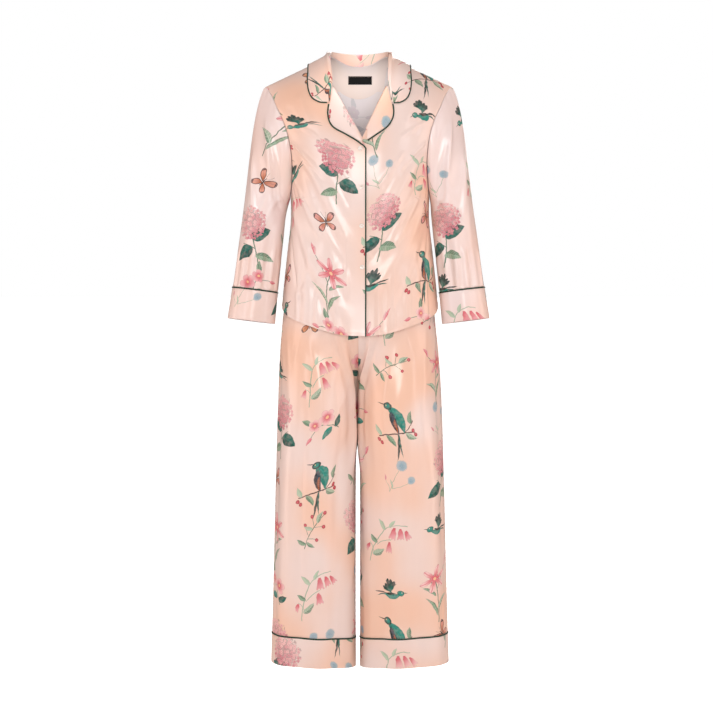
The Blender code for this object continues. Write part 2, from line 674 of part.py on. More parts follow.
def armhole_ring(side, psi):
    """Start of the sleeve: places, and directions square to the seam."""
    def place(angle):
        folded = 180.0 - np.abs((angle % 360.0) - 180.0)
        reach = armhole_reach(folded)
        swing = armhole_swing(reach)
        front = (angle % 360.0) <= 180.0
        theta = np.where(front, 90.0 - swing, 90.0 + swing) * side
        return theta, reach

    theta, reach = place(psi)
    at = torso(theta, reach, 0.0)
    normal = unit(torso(theta, reach, 0.001) - at)
    ahead = torso(*place(psi + 1.0), 0.0)
    behind = torso(*place(psi - 1.0), 0.0)
    away = side * unit(np.cross(normal, ahead - behind))
    under = smooth((1.0 - np.cos(np.radians(psi))) / 2.0)[..., None]
    start = at + ARMHOLE_GAP * (away + normal * under)
    return start, normal


def sleeve(side, turns=28, upper=7, lower=5):
    """Outer and inner grids of one sleeve from the armhole to the cuff."""
    psi = np.arange(turns) * 360.0 / turns
    turn = np.radians(psi)[:, None]
    start, seam_normal = armhole_ring(side, psi)
    foot = sleeve_ring(side, psi, np.zeros(turns))
    below = sleeve_ring(side, psi, np.full(turns, 0.01))
    leave = np.concatenate([
        side * (0.33 + 0.10 * np.cos(turn)), -0.15 * np.sin(turn), -0.80 + 0.0 * turn,
    ], axis=-1)
    distance = np.linalg.norm(foot - start, axis=-1, keepdims=True)
    first = start + unit(leave) * distance * 0.20
    second = foot - unit(below - foot) * distance * 0.40
    rings = []
    for t in np.linspace(0.0, 1.0, upper + 1):
        rings.append(
            start * (1 - t) ** 3 + first * 3 * t * (1 - t) ** 2
            + second * 3 * t ** 2 * (1 - t) + foot * t ** 3
        )
    for down in np.linspace(0.0, SLEEVE_END, lower + 1)[1:]:
        rings.append(sleeve_ring(side, psi, np.full(turns, down)))
    grid = np.array(rings)
    normal = grid_normals(grid, wrap=True)
    centre = grid.mean(axis=1, keepdims=True)
    if np.sum(normal[upper:] * (grid - centre)[upper:]) < 0.0:
        normal = -normal
    under = smooth((1.0 - np.cos(turn)) / 2.0)
    normal[0] = unit(normal[0] * (0.6 + 0.4 * under) + seam_normal)
    share = np.linspace(0.0, 1.0, len(grid))[:, None]
    relief = sleeve_relief(psi[None, :], share) * smooth(share * 5.0)
    outer = grid + normal * relief[..., None]
    return outer, outer - normal * WALL


def sleeve_relief(psi, share):
    """Height of the sleeve's folds."""
    total = 0.0
    for shift in (0.0, 360.0):
        across = np.radians(psi - shift) * 0.050
        start = zip(np.radians(SLEEVE_FOLDS["turn"]) * 0.050, SLEEVE_FOLDS["share"] * 0.42)
        end = zip(np.radians(SLEEVE_FOLDS["to_turn"]) * 0.050, SLEEVE_FOLDS["to_share"] * 0.42)
        total = total + fold_height(SLEEVE_FOLDS, across, share * 0.42, start, end)
    return total


def cuff(side, turns=28, rows=2):
    """Outer and inner grids of one cuff."""
    psi = np.arange(turns)[None, :] * 360.0 / turns
    down = CUFF_START + np.linspace(0.0, CUFF_LENGTH, rows + 1)[:, None] + 0.0 * psi
    psi = psi + 0.0 * down
    relief = sleeve_relief(psi, np.ones_like(down)) * 0.6
    return sleeve_ring(side, psi, down, relief + 0.0004), sleeve_ring(side, psi, down, relief + 0.0004 - CUFF_WALL)


# ---------------------------------------------------------------- trousers

def trouser_surface(side, face, u, drop):
    """Trousers: u from the centre seam (0) to the side seam (1) of one front or back panel."""
    part = smooth((drop - CROTCH[0]) / (CROTCH[1] - CROTCH[0]))
    column = "front" if face < 0 else "back"
    quarter = np.radians(90.0 * u)
    hip_half = track(HIPS, "drop", "half", drop)
    hip_x = hip_half * np.sin(quarter)
    hip_y = track(HIPS, "drop", column, drop) * np.cos(quarter)
    around = np.radians(180.0 * u)
    half = track(LEG, "drop", "half", drop) * LEG_SCALE[side]
    gap = track(LEG, "drop", "gap", drop)
    leg_x = gap + half * (1.0 - np.cos(around))
    leg_y = track(LEG, "drop", column, drop) * np.sin(around)
    x = side * (hip_x + (leg_x - hip_x) * part) + GAP_CENTRE * part
    y = face * (hip_y + (leg_y - hip_y) * part)
    return np.stack([x, y, -drop + 0.0 * x], axis=-1)


def trouser_relief(u, drop):
    """Height of the trousers' soft flutes, growing to the hem."""
    across = u * 0.26
    start = zip(TROUSER_FOLDS["round"] * 0.26, TROUSER_FOLDS["drop"])
    end = zip(TROUSER_FOLDS["to_round"] * 0.26, TROUSER_FOLDS["to_drop"])
    grow = smooth((drop - 0.64) / 0.4)
    return fold_height(TROUSER_FOLDS, across, drop, start, end) * grow * np.sin(np.pi * u) ** 0.4


def trouser(side, face, u, drop, out=0.0):
    """Point on the folded trousers, moved out by a distance."""
    u, drop, out = np.broadcast_arrays(u, drop, out)

    def surface(a, b):
        return trouser_surface(side, face, a, b)

    inside = np.clip(u, 0.004, 0.996)
    across = surface(inside + 0.002, drop) - surface(inside - 0.002, drop)
    down = surface(inside, drop + 0.001) - surface(inside, drop - 0.001)
    normal = side * face * unit(np.cross(across, down))
    return surface(u, drop) + normal * (out + trouser_relief(u, drop))[..., None]


def leg_panel(side, face, columns=11, rows=16):
    """Outer and inner grids of one front or back leg piece."""
    u = np.linspace(0.0, 1.0, columns + 1)[None, :]
    end = HEM_INNER - HEM_RISE * u - BAND_HEIGHT - PIPING_REACH * 2.0
    rise = np.linspace(0.0, 1.0, rows + 1)[:, None]
    drop = WAISTBAND[1] + SEAM + (end - WAISTBAND[1] - SEAM) * rise
    apart = np.array([0.0, face * SEAM_SHIFT, 0.0])
    part = smooth((drop - CROTCH[0]) / (CROTCH[1] - CROTCH[0]))
    centre = np.stack([side * SEAM_SHIFT * (1.0 - part) * (1.0 - u), 0.0 * part * u, 0.0 * part * u], axis=-1)
    return (
        trouser(side, face, u, drop, 0.0) + apart + centre,
        trouser(side, face, u, drop, -WALL) + apart + centre,
    )


def leg_ring(side, above, out, half_cells=14):
    """Closed ring round one leg at a height above its hem."""
    u = np.linspace(0.0, 1.0, half_cells + 1)
    drop = HEM_INNER - HEM_RISE * u - above
    front = trouser(side, -1, u, drop, out)
    back = trouser(side, 1, u, drop, out)
    shift = np.array([0.0, SEAM_SHIFT, 0.0])
    inner = 0.5 * (front[:1] + back[:1])
    outer = 0.5 * (front[-1:] + back[-1:])
    return np.concatenate([inner, front[1:-1] - shift, outer, back[1:-1][::-1] + shift])


def hem_band(side, rows=3):
    """Outer and inner grids of one hem band."""
    heights = np.linspace(BAND_HEIGHT, 0.0, rows + 1)
    outer = np.array([leg_ring(side, height, 0.0004) for height in heights])
    inner = np.array([leg_ring(side, height, 0.0004 - CUFF_WALL) for height in heights])
    return outer, inner


def waistband(turns=32, rows=1):
    """Outer and inner grids of the waistband."""
    theta = np.arange(turns)[None, :] * 2.0 * np.pi / turns
    drop = np.linspace(WAISTBAND[0], WAISTBAND[1], rows + 1)[:, None]
    wide = 0.1345 + 0.10 * (drop - WAISTBAND[0]) + 0.0007 * np.cos(16 * theta)
    deep = 0.0985 + 0.04 * (drop - WAISTBAND[0]) + 0.0007 * np.cos(16 * theta)

    def ring(inward):
        return np.stack([
            (wide - inward) * np.sin(theta), -(deep - inward) * np.cos(theta), -drop + 0.0 * theta,
        ], axis=-1)

    return ring(0.0), ring(WAIST_WALL)


# ---------------------------------------------------------------- solids

def add_object(name, points, faces, finish):
    """One node from points and faces, turned to face outward, in its own material."""
    points = np.asarray(points, float)
    volume = 0.0
    for face in faces:
        a = points[face[0]]
        for second, third in zip(face[1:-1], face[2:]):
            volume += np.dot(a, np.cross(points[second], points[third]))
    if volume < 0.0:
        faces = [tuple(reversed(face)) for face in faces]
    mesh = bpy.data.meshes.new(name)
    mesh.from_pydata([tuple(p) for p in points], [], faces)
    mesh.shade_smooth()
    mesh.set_sharp_from_angle(angle=SHARP_BEND)
    mesh.update()
    colour, roughness = finish
    material = bpy.data.materials.new(name + "_finish")
    material.use_nodes = True
    shader = material.node_tree.nodes["Principled BSDF"]
    shader.inputs["Base Color"].default_value = (*colour, 1.0)
    shader.inputs["Roughness"].default_value = roughness
    shader.inputs["Metallic"].default_value = 0.0
    mesh.materials.append(material)
    made = bpy.data.objects.new(name, mesh)
    bpy.context.scene.collection.objects.link(made)
    return made


def add_wall(name, grids, finish, wrap=False):
    """Closed thin wall between an outer and an inner grid."""
    outer, inner = grids
    rows, columns = outer.shape[:2]
    points = np.concatenate([outer.reshape(-1, 3), inner.reshape(-1, 3)])
    back = rows * columns
    faces = []
    cells = columns if wrap else columns - 1
    for i in range(rows - 1):
        for j in range(cells):
            a = i * columns + j
            b = i * columns + (j + 1) % columns
            c, d = b + columns, a + columns
            faces.extend([(a, b, c), (a, c, d)])
            faces.extend([(back + c, back + b, back + a), (back + d, back + c, back + a)])
    for j in range(cells):
        a, b = j, (j + 1) % columns
        faces.append((b, a, back + a, back + b))
        a, b = a + (rows - 1) * columns, b + (rows - 1) * columns
        faces.append((a, b, back + b, back + a))
    if not wrap:
        for i in range(rows - 1):
            a, d = i * columns, (i + 1) * columns
            faces.append((a, d, back + d, back + a))
            a, d = a + columns - 1, d + columns - 1
            faces.append((d, a, back + a, back + d))
    return add_object(name, points, faces, finish)


def add_cord(name, path, radius, finish, closed=False, sides=6):
    """Round cord along a line of points."""
    path = np.asarray(path, float)
    count = len(path)
    if closed:
        along = unit(np.roll(path, -1, axis=0) - np.roll(path, 1, axis=0))
    else:
        along = unit(np.gradient(path, axis=0))
    side = unit(np.cross(along[0], (0.3, -0.9, 0.2)))
    rings = []
    for i in range(count):
        side = unit(side - along[i] * np.dot(side, along[i]))
        other = np.cross(along[i], side)
        angles = np.arange(sides) * 2.0 * np.pi / sides
        rings.append(path[i] + radius * (np.cos(angles)[:, None] * side + np.sin(angles)[:, None] * other))
    points = np.concatenate(rings)
    faces = []
    for i in range(count if closed else count - 1):
        a = i * sides
        b = ((i + 1) % count) * sides
        for k in range(sides):
            n = (k + 1) % sides
            faces.append((a + k, a + n, b + n, b + k))
    if not closed:
        faces.append(tuple(reversed(range(sides))))
        faces.append(tuple(range((count - 1) * sides, count * sides)))
    return add_object(name, points, faces, finish)


def add_button(name, x, z):
    """Small turned button with a rim, standing just off the lapped front."""
    profile = ((0.0, 0.00), (0.96, 0.00), (1.0, 0.30), (1.0, 0.70), (0.93, 1.0), (0.74, 1.0), (0.64, 0.80))
    base = on_front(x, z, lap_right(np.asarray(x)) + 0.0007)
    normal = unit(on_front(x, z, 0.01) - on_front(x, z, 0.0))
    side = unit(np.cross(normal, (0.0, 0.0, 1.0)))
    up = np.cross(side, normal)
    turns = 14
    angles = np.arange(turns) * 2.0 * np.pi / turns
    circle = np.cos(angles)[:, None] * side + np.sin(angles)[:, None] * up
    points = [base]
    for share, height in profile[1:]:
        points.extend(base + circle * BUTTON_RADIUS * share + normal * BUTTON_THICK * height)
    points.append(base + normal * BUTTON_THICK * profile[-1][1])
    faces = []
    for k in range(turns):
        faces.append((0, 1 + (k + 1) % turns, 1 + k))
    for ring in range(len(profile) - 2):
        for k in range(turns):
            n = (k + 1) % turns
            a = 1 + ring * turns
            faces.append((a + k, a + n, a + turns + n, a + turns + k))
    last = 1 + (len(profile) - 2) * turns
    for k in range(turns):
        faces.append((last + k, last + (k + 1) % turns, len(points) - 1))
    return add_object(name, points, faces, PEARL)


BUTTONS = ((0.0037, -0.2130), (0.0060, -0.2988), (0.0069, -0.3869), (0.0082, -0.4805))


def build_shirt():
    """All pieces of the shirt."""
    right = front_panel(EDGE_RIGHT, ROWS_RIGHT, -1, lap_right)
    left = front_panel(EDGE_LEFT, ROWS_LEFT, 1, lap_left)
    back = back_panel()
    add_wall("front_right", right, SATIN)
    add_wall("front_left", left, SATIN)
    add_wall("back", back, SATIN)
    add_wall("back_facing", back_facing(), SATIN)
    add_wall("label", label(), BLACK)
    lapel_right = lapel(LAPEL_RIGHT, lap_right, -1.0)
    lapel_left = lapel(LAPEL_LEFT, lap_left, 1.0)
    add_wall("lapel_right", lapel_right, SATIN)
    add_wall("lapel_left", lapel_left, SATIN)
    collar_grids = collar(panel_tree([right[0], left[0], back[0]]))
    add_wall("collar", collar_grids, SATIN)
    add_cord("collar_piping", collar_line(collar_grids), PIPING_RADIUS, GREEN)
    add_cord("lapel_piping_left", lapel_line(LAPEL_LEFT, lap_left), PIPING_RADIUS, GREEN)
    edge = EDGE_RIGHT["x"][-1] + PIPING_REACH
    bend = on_front([0.0098, edge - 0.0030, edge], [-0.2050, -0.2085, -0.2125], [0.0034, 0.0036, 0.0026])
    down = np.concatenate([bend, front_line(edge, -0.2180, -0.6380, 25, 0.0010)])
    add_cord(
        "front_piping_right",
        np.concatenate([lapel_line(LAPEL_RIGHT, lap_right), down]), PIPING_RADIUS, GREEN,
    )
    for side, name in ((-1, "right"), (1, "left")):
        add_wall("sleeve_" + name, sleeve(side), SATIN, wrap=True)
        add_wall("cuff_" + name, cuff(side), SATIN, wrap=True)
        psi = np.arange(28) * 360.0 / 28
        relief = sleeve_relief(psi, np.ones(28)) * 0.8
        ring = sleeve_ring(side, psi, np.full(28, SLEEVE_END + PIPING_REACH), relief + 0.0002)
        add_cord("cuff_piping_" + name, ring, PIPING_RADIUS, GREEN, closed=True)
    for number, (x, z) in enumerate(BUTTONS, start=1):
        add_button("button_" + str(number), x, z)


def build_trousers():
    """All pieces of the trousers."""
    add_wall("waistband", waistband(), SATIN, wrap=True)
    for side, name in ((-1, "right"), (1, "left")):
        add_wall("leg_front_" + name, leg_panel(side, -1), SATIN)
        add_wall("leg_back_" + name, leg_panel(side, 1), SATIN)
        add_wall("hem_band_" + name, hem_band(side), SATIN, wrap=True)
        ring = leg_ring(side, BAND_HEIGHT + PIPING_REACH, 0.0002)
        add_cord("hem_piping_" + name, ring, PIPING_RADIUS, GREEN, closed=True)


for old in list(bpy.data.objects):
    bpy.data.objects.remove(old, do_unlink=True)
build_shirt()
build_trousers()
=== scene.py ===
"""Looks of the pyjama set: printed satin shells, piping, buttons and sewing, in a plain studio.

Metres, +Z up; the front faces -Y and +X is the wearer's left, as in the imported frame.
Every piece of cloth is a closed thin shell on the form of its solid, with its creases.
"""

import logging
import math
from collections.abc import Callable, Sequence
from dataclasses import dataclass, field, replace
from enum import Enum
from typing import Optional, Union

import bpy
import bmesh
import numpy as np
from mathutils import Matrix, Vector
from mathutils.bvhtree import BVHTree


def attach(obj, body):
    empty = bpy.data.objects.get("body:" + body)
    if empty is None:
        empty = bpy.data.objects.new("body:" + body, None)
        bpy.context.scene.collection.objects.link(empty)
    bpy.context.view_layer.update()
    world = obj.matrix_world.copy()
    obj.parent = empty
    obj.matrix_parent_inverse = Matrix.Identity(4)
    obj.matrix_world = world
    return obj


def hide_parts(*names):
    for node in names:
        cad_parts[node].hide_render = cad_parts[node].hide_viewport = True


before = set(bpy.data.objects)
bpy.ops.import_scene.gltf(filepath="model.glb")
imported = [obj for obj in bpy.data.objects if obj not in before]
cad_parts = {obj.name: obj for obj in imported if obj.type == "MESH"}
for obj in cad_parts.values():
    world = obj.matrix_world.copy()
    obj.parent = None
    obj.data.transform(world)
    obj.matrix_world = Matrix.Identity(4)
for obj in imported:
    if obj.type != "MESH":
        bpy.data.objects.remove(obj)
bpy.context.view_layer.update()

log = logging.getLogger("pyjama_set")

CUT_MAP = "cut"

Grid = np.ndarray
Rows = dict[str, np.ndarray]
Colour = tuple[float, float, float, float]
Pair = tuple[float, float]
Triple = tuple[float, float, float]
Sewn = tuple[bool, bool, bool, bool]

HANDS = {-1: "right", 1: "left"}


# ---------------------------------------------------------------- numbers and shapes

def table(names: Sequence[str], *rows: Sequence[float]) -> Rows:
    """Rows of numbers as one array per named column."""
    return {name: np.array([row[i] for row in rows], float) for i, name in enumerate(names)}


def measured(names: Sequence[str], *rows: Sequence[float]) -> Rows:
    """Rows of millimetres as one array of metres per named column."""
    return {name: column * 0.001 for name, column in table(names, *rows).items()}


def smooth(value: Grid) -> Grid:
    """Ease from 0 to 1."""
    value = np.clip(value, 0.0, 1.0)
    return value * value * (3.0 - 2.0 * value)


def rim(away: Grid, reach: float = 0.0017) -> Grid:
    """1 at an edge, easing to 0 at a reach from it."""
    return 1.0 - smooth(away / reach)


def unit(vectors: Grid) -> Grid:
    """Vectors scaled to length one."""
    return vectors / np.maximum(np.linalg.norm(vectors, axis=-1, keepdims=True), 1e-12)


def curve(keys: Grid, values: Grid, at: Grid) -> Grid:
    """Smooth curve through keyed values.

    Args:
        keys: rising places of the values.
        values: one number or point for each key.
        at: places to read.

    Returns:
        The value at each place.
    """
    slopes = np.gradient(values, keys, axis=0)
    at = np.clip(at, keys[0], keys[-1])
    i = np.clip(np.searchsorted(keys, at, side="right") - 1, 0, len(keys) - 2)
    wide = np.shape(at) + (1,) * (values.ndim - 1)
    span = (keys[i + 1] - keys[i]).reshape(wide)
    t = (at - keys[i]).reshape(wide) / span
    late = 3 * t ** 2 - 2 * t ** 3
    bend = (t ** 3 - 2 * t ** 2 + t) * slopes[i] + (t ** 3 - t ** 2) * slopes[i + 1]
    return (1 - late) * values[i] + late * values[i + 1] + span * bend


def track(rows: Rows, key: str, column: str, at: Grid) -> Grid:
    """Smooth curve through one column of a table, read at places in its rising key column."""
    return curve(rows[key], rows[column], at)


def through(points: Grid, count: int, axis: int) -> Grid:
    """Smooth curve through a grid of points along one axis.

    Args:
        points: the grid.
        count: how many points the axis gets.
        axis: the axis.

    Returns:
        The finer grid.
    """
    points = np.moveaxis(points, axis, 0)
    at = np.linspace(0.0, len(points) - 1.0, count)
    return np.moveaxis(curve(np.arange(float(len(points))), points, at), 0, axis)


def lifted(
    surface: Callable[[Grid, Grid], Grid], u: Grid, v: Grid, out: Grid, steps: Pair, sense: float,
) -> Grid:
    """Points of a surface moved along its outward normal.

    Args:
        surface: gives a point for two places.
        u, v: the two places of each point.
        out: how far each point moves out.
        steps: small steps of u and v that measure the slope.
        sense: 1 or -1, which side is out.

    Returns:
        The moved points.
    """
    across = surface(u + steps[0], v) - surface(u - steps[0], v)
    down = surface(u, v + steps[1]) - surface(u, v - steps[1])
    return surface(u, v) + sense * unit(np.cross(across, down)) * np.asarray(out)[..., None]


def wander(across: Grid, down: Grid, seed: float) -> Grid:
    """Gentle uneven number between about -1 and 1 over a cloth.

    Args:
        across, down: place on the cloth, in radians of the slowest wave.
        seed: any number, which shifts the waves.

    Returns:
        The number at each place.
    """
    total = np.zeros(np.broadcast(across, down).shape)
    for n, (a, b) in enumerate(((1.0, 0.3), (-0.7, 1.1), (1.9, -0.8), (0.4, 2.3), (-2.7, 1.7))):
        total = total + np.sin(a * across + b * down + seed * (1.7 + n) + 2.1 * n) / (1.4 + 0.5 * n)
    return total * 0.42


@dataclass(frozen=True)
class Folds:
    """Creases of one piece of cloth, as soft ridges and troughs from place to place.

    across and down are the metres in one unit of a row's x and y; widths and depths are millimetres.
    """

    rows: Rows
    across: float
    down: float = 0.001
    seed: float = 0.0
    stray: float = 0.0035
    gain: float = 1.0

    def height(self, across: Grid, down: Grid) -> Grid:
        """Height of all the creases.

        Args:
            across, down: metres round and down the cloth.

        Returns:
            Metres that the cloth stands out.
        """
        rows = self.rows
        x = across + self.stray * wander(across * 22.0, down * 16.0, self.seed)
        y = down + self.stray * wander(down * 24.0, across * 18.0, self.seed + 4.0)
        total = np.zeros(np.broadcast(across, down).shape)
        for x0, y0, x1, y1, width, depth in zip(
            rows["x"] * self.across, rows["y"] * self.down,
            rows["to_x"] * self.across, rows["to_y"] * self.down, rows["width"] * 0.001, rows["depth"] * 0.001,
        ):
            length = (x1 - x0) ** 2 + (y1 - y0) ** 2
            t = np.clip(((x - x0) * (x1 - x0) + (y - y0) * (y1 - y0)) / length, 0.0, 1.0)
            away = (x - x0 - t * (x1 - x0)) ** 2 + (y - y0 - t * (y1 - y0)) ** 2
            total += depth * np.exp(-away / width ** 2) * smooth(4.0 * t) * smooth(6.0 * (1.0 - t) + 0.3)
        return total * self.gain


# ---------------------------------------------------------------- shader nodes

def shade(code: str) -> Colour:
    """Linear colour of a hexadecimal sRGB code.

    Args:
        code: six hexadecimal digits.

    Returns:
        Red, green, blue and a full alpha.
    """
    parts = [int(code[i:i + 2], 16) / 255.0 for i in (0, 2, 4)]
    red, green, blue = (c / 12.92 if c <= 0.04045 else ((c + 0.055) / 1.055) ** 2.4 for c in parts)
    return red, green, blue, 1.0


class Socket(Enum):
    """Kinds of sockets of a node group."""

    NUMBER = "NodeSocketFloat"
    PLACE = "NodeSocketVector"
    COLOUR = "NodeSocketColor"


def arithmetic(operation: str, turned: bool = False) -> Callable[["Wire", "Number"], "Wire"]:
    """An operator of Wire that adds one node; turned puts the other number first."""
    def combine(self: "Wire", other: "Number") -> "Wire":
        """The node's result."""
        return self.graph.math(operation, *((other, self) if turned else (self, other)))
    return combine


@dataclass
class Wire:
    """What leaves one shader node: a number, a place or a colour; least is the floor of a number."""

    graph: "Graph"
    socket: bpy.types.NodeSocket

    __add__, __radd__ = arithmetic("ADD"), arithmetic("ADD", True)
    __sub__, __rsub__ = arithmetic("SUBTRACT"), arithmetic("SUBTRACT", True)
    __mul__, __rmul__ = arithmetic("MULTIPLY"), arithmetic("MULTIPLY", True)
    __truediv__, __pow__, least = arithmetic("DIVIDE"), arithmetic("POWER"), arithmetic("MAXIMUM")

    def __abs__(self) -> "Wire":
        """Size without sign."""
        return self.graph.math("ABSOLUTE", self)


Number = Union[float, Wire]
Paint = Union[Colour, Wire, "Ink"]


@dataclass(frozen=True)
class Spot:
    """Place across and up a motif, as two wires."""

    x: Wire
    y: Wire


class Graph:
    """Writes arithmetic and patterns as nodes in one shader tree, in the order they are worked out."""

    def __init__(self, tree: bpy.types.NodeTree) -> None:
        """Keeps the tree."""
        self.tree = tree

    def node(self, kind: str, **settings: object) -> bpy.types.Node:
        """One new node.

        Args:
            kind: Blender's name for it after ShaderNode.
            settings: properties to set on it.

        Returns:
            The node.
        """
        made = self.tree.nodes.new("ShaderNode" + kind)
        for name, value in settings.items():
            setattr(made, name, value)
        return made

    def feed(self, socket: bpy.types.NodeSocket, value: object) -> None:
        """Links a wire to a socket, or sets the socket to a constant or an ink."""
        if isinstance(value, Wire):
            self.tree.links.new(value.socket, socket)
        else:
            socket.default_value = shade(value.value) if isinstance(value, Ink) else value

    def filled(self, made: bpy.types.Node, values: Sequence[object]) -> bpy.types.Node:
        """A node with its first inputs fed in order."""
        for socket, value in zip(made.inputs, values):
            self.feed(socket, value)
        return made

    def math(self, operation: str, *values: Number) -> Wire:
        """Result of one arithmetic node, with what goes in, in order."""
        return Wire(self, self.filled(self.node("Math", operation=operation), values).outputs[0])

    def places(self, operation: str, *values: object) -> bpy.types.Node:
        """One vector arithmetic node, with what goes in, in order."""
        return self.filled(self.node("VectorMath", operation=operation), values)

    def ease(self, value: Number, start: float, end: float, low: float = 0.0, high: float = 1.0) -> Wire:
        """Smooth step of a value from low at start to high at end; start may be the greater."""
        made = self.node("MapRange", interpolation_type="SMOOTHSTEP", clamp=False)
        return Wire(self, self.filled(made, (value, start, end, low, high)).outputs[0])

    def place(self, spot: "Spot", at: Pair, turn: float, size: Pair) -> "Spot":
        """Place as seen from a shape that is moved, turned and scaled.

        Args:
            spot: place on the motif.
            at: where the shape's own zero lies.
            turn: degrees that the shape is turned.
            size: how large the shape's units are.

        Returns:
            The place in the shape's own units.
        """
        cos, sin = math.cos(math.radians(turn)), math.sin(math.radians(turn))
        return Spot(self.along(spot, cos, sin, at, size[0]), self.along(spot, -sin, cos, at, size[1]))

    def along(self, spot: "Spot", cos: float, sin: float, at: Pair, size: float) -> Wire:
        """How far a place lies along a slanted axis from a shape's zero, in units of a size."""
        first = self.math("MULTIPLY_ADD", spot.x, cos / size, -(at[0] * cos + at[1] * sin) / size)
        return self.math("MULTIPLY_ADD", spot.y, sin / size, first)

    def part(self, spot: Wire, axis: int) -> Wire:
        """One number of a place or a colour, by its index."""
        pick = tuple(float(axis == i) for i in range(3))
        return Wire(self, self.places("DOT_PRODUCT", spot, pick).outputs["Value"])

    def spot(self, place: Wire) -> "Spot":
        """First two numbers of a place."""
        return Spot(self.part(place, 0), self.part(place, 1))

    def joined(self, x: Number, y: Number, z: Number = 0.0) -> Wire:
        """Place from its numbers."""
        return Wire(self, self.filled(self.node("CombineXYZ"), (x, y, z)).outputs[0])

    def away(self, spot: "Spot") -> Wire:
        """Distance of a place from zero."""
        return self.math("SQRT", self.math("MULTIPLY_ADD", spot.y, spot.y, spot.x * spot.x))

    def polar(self, spot: "Spot") -> tuple[Wire, Wire]:
        """Distance and angle of a place."""
        return self.away(spot), self.math("ARCTAN2", spot.y, spot.x)

    def mix(self, share: Number, first: Paint, second: Paint) -> Wire:
        """First colour, turning into the second as the share rises to one.

        Args:
            share: how much of the second.
            first, second: the colours.

        Returns:
            The mixed colour.
        """
        made = self.node("Mix", data_type="RGBA")
        for index, value in ((0, share), (6, first), (7, second)):
            self.feed(made.inputs[index], value)
        return Wire(self, made.outputs[2])

    def fade(self, value: Number, start: float, end: float, first: Paint, second: Paint) -> Wire:
        """First colour at a value's start, turning into the second at its end."""
        return self.mix(self.ease(value, start, end), first, second)

    def noise(self, spot: Wire, scale: float, detail: float = 2.0) -> bpy.types.Node:
        """Noise over a place.

        Args:
            spot: the place.
            scale: grains in a unit.
            detail: finer layers.

        Returns:
            The node.
        """
        made = self.node("TexNoise", noise_dimensions="3D")
        for name, value in {"Vector": spot, "Scale": scale, "Detail": detail}.items():
            self.feed(made.inputs[name], value)
        return made

    def noise_value(self, spot: Wire, scale: float, detail: float = 2.0) -> Wire:
        """Grey noise over a place."""
        return Wire(self, self.noise(spot, scale, detail).outputs[0])

    def stretched(self, spot: Wire, size: Triple) -> Wire:
        """Place scaled along each axis."""
        return Wire(self, self.places("MULTIPLY", spot, size).outputs[0])

    def use(self, tree: bpy.types.NodeTree, **values: object) -> dict[str, Wire]:
        """Places a node group.

        Args:
            tree: the group.
            values: what goes into its inputs, by name.

        Returns:
            Its outputs, by name.
        """
        made = self.node("Group", node_tree=tree)
        for name, value in values.items():
            self.feed(made.inputs[name], value)
        return {socket.name: Wire(self, socket) for socket in made.outputs}


class Group:
    """One shader node group that is being written."""

    def __init__(self, name: str, inputs: dict[str, Socket], outputs: dict[str, Socket]) -> None:
        """Makes the group.

        Args:
            name: its name.
            inputs, outputs: kind of each named socket.
        """
        self.tree = bpy.data.node_groups.new(name, "ShaderNodeTree")
        for sense, sockets in (("INPUT", inputs), ("OUTPUT", outputs)):
            for socket, kind in sockets.items():
                self.tree.interface.new_socket(socket, in_out=sense, socket_type=kind.value)
        self.graph = Graph(self.tree)
        entry = self.tree.nodes.new("NodeGroupInput")
        self.given = {socket.name: Wire(self.graph, socket) for socket in entry.outputs if socket.name}

    def close(self, **results: object) -> bpy.types.NodeTree:
        """Feeds the outputs and ends the group.

        Args:
            results: what the outputs get, by name.

        Returns:
            The group.
        """
        end = self.tree.nodes.new("NodeGroupOutput")
        for name, value in results.items():
            self.graph.feed(end.inputs[name], value)
        return self.tree


class Painting:
    """Colour and cover of shapes that are painted over each other."""

    def __init__(self, graph: Graph) -> None:
        """Starts with nothing painted.

        Args:
            graph: where it is painted.
        """
        self.graph = graph
        self.colour: Optional[Paint] = None
        self.cover: Optional[Wire] = None

    def add(self, mask: Wire, colour: Paint) -> None:
        """Paints one shape over what is there, where its mask is."""
        if self.cover is None:
            self.colour, self.cover = colour, mask
        else:
            self.colour = self.graph.mix(mask, self.colour, colour)
            self.cover = self.cover.least(mask)


class Ink(Enum):
    """Inks of the print, by their sRGB codes."""

    TEAL = "007264"
    DEEP = "023f3a"
    LAGOON = "249687"
    NAVY = "2c4f5e"
    SAGE = "9db89c"
    MOSS = "527b62"
    PALE_LEAF = "bfd3ba"
    ROSE = "cf7f8b"
    PINK = "e7a5aa"
    BLUSH = "f3cfca"
    CORAL = "d75f6c"
    BERRY = "b33a41"
    AMBER = "dc9a66"
    HONEY = "f0c392"
    UMBER = "3b2a29"
    NIGHT = "0a171c"
    SLATE = "6790a3"
    MIST = "a5bdc6"
    RUST = "b9683f"


(
    TEAL, DEEP, LAGOON, NAVY, SAGE, MOSS, PALE_LEAF, ROSE, PINK, BLUSH,
    CORAL, BERRY, AMBER, HONEY, UMBER, NIGHT, SLATE, MIST, RUST,
) = Ink


# ---------------------------------------------------------------- the print

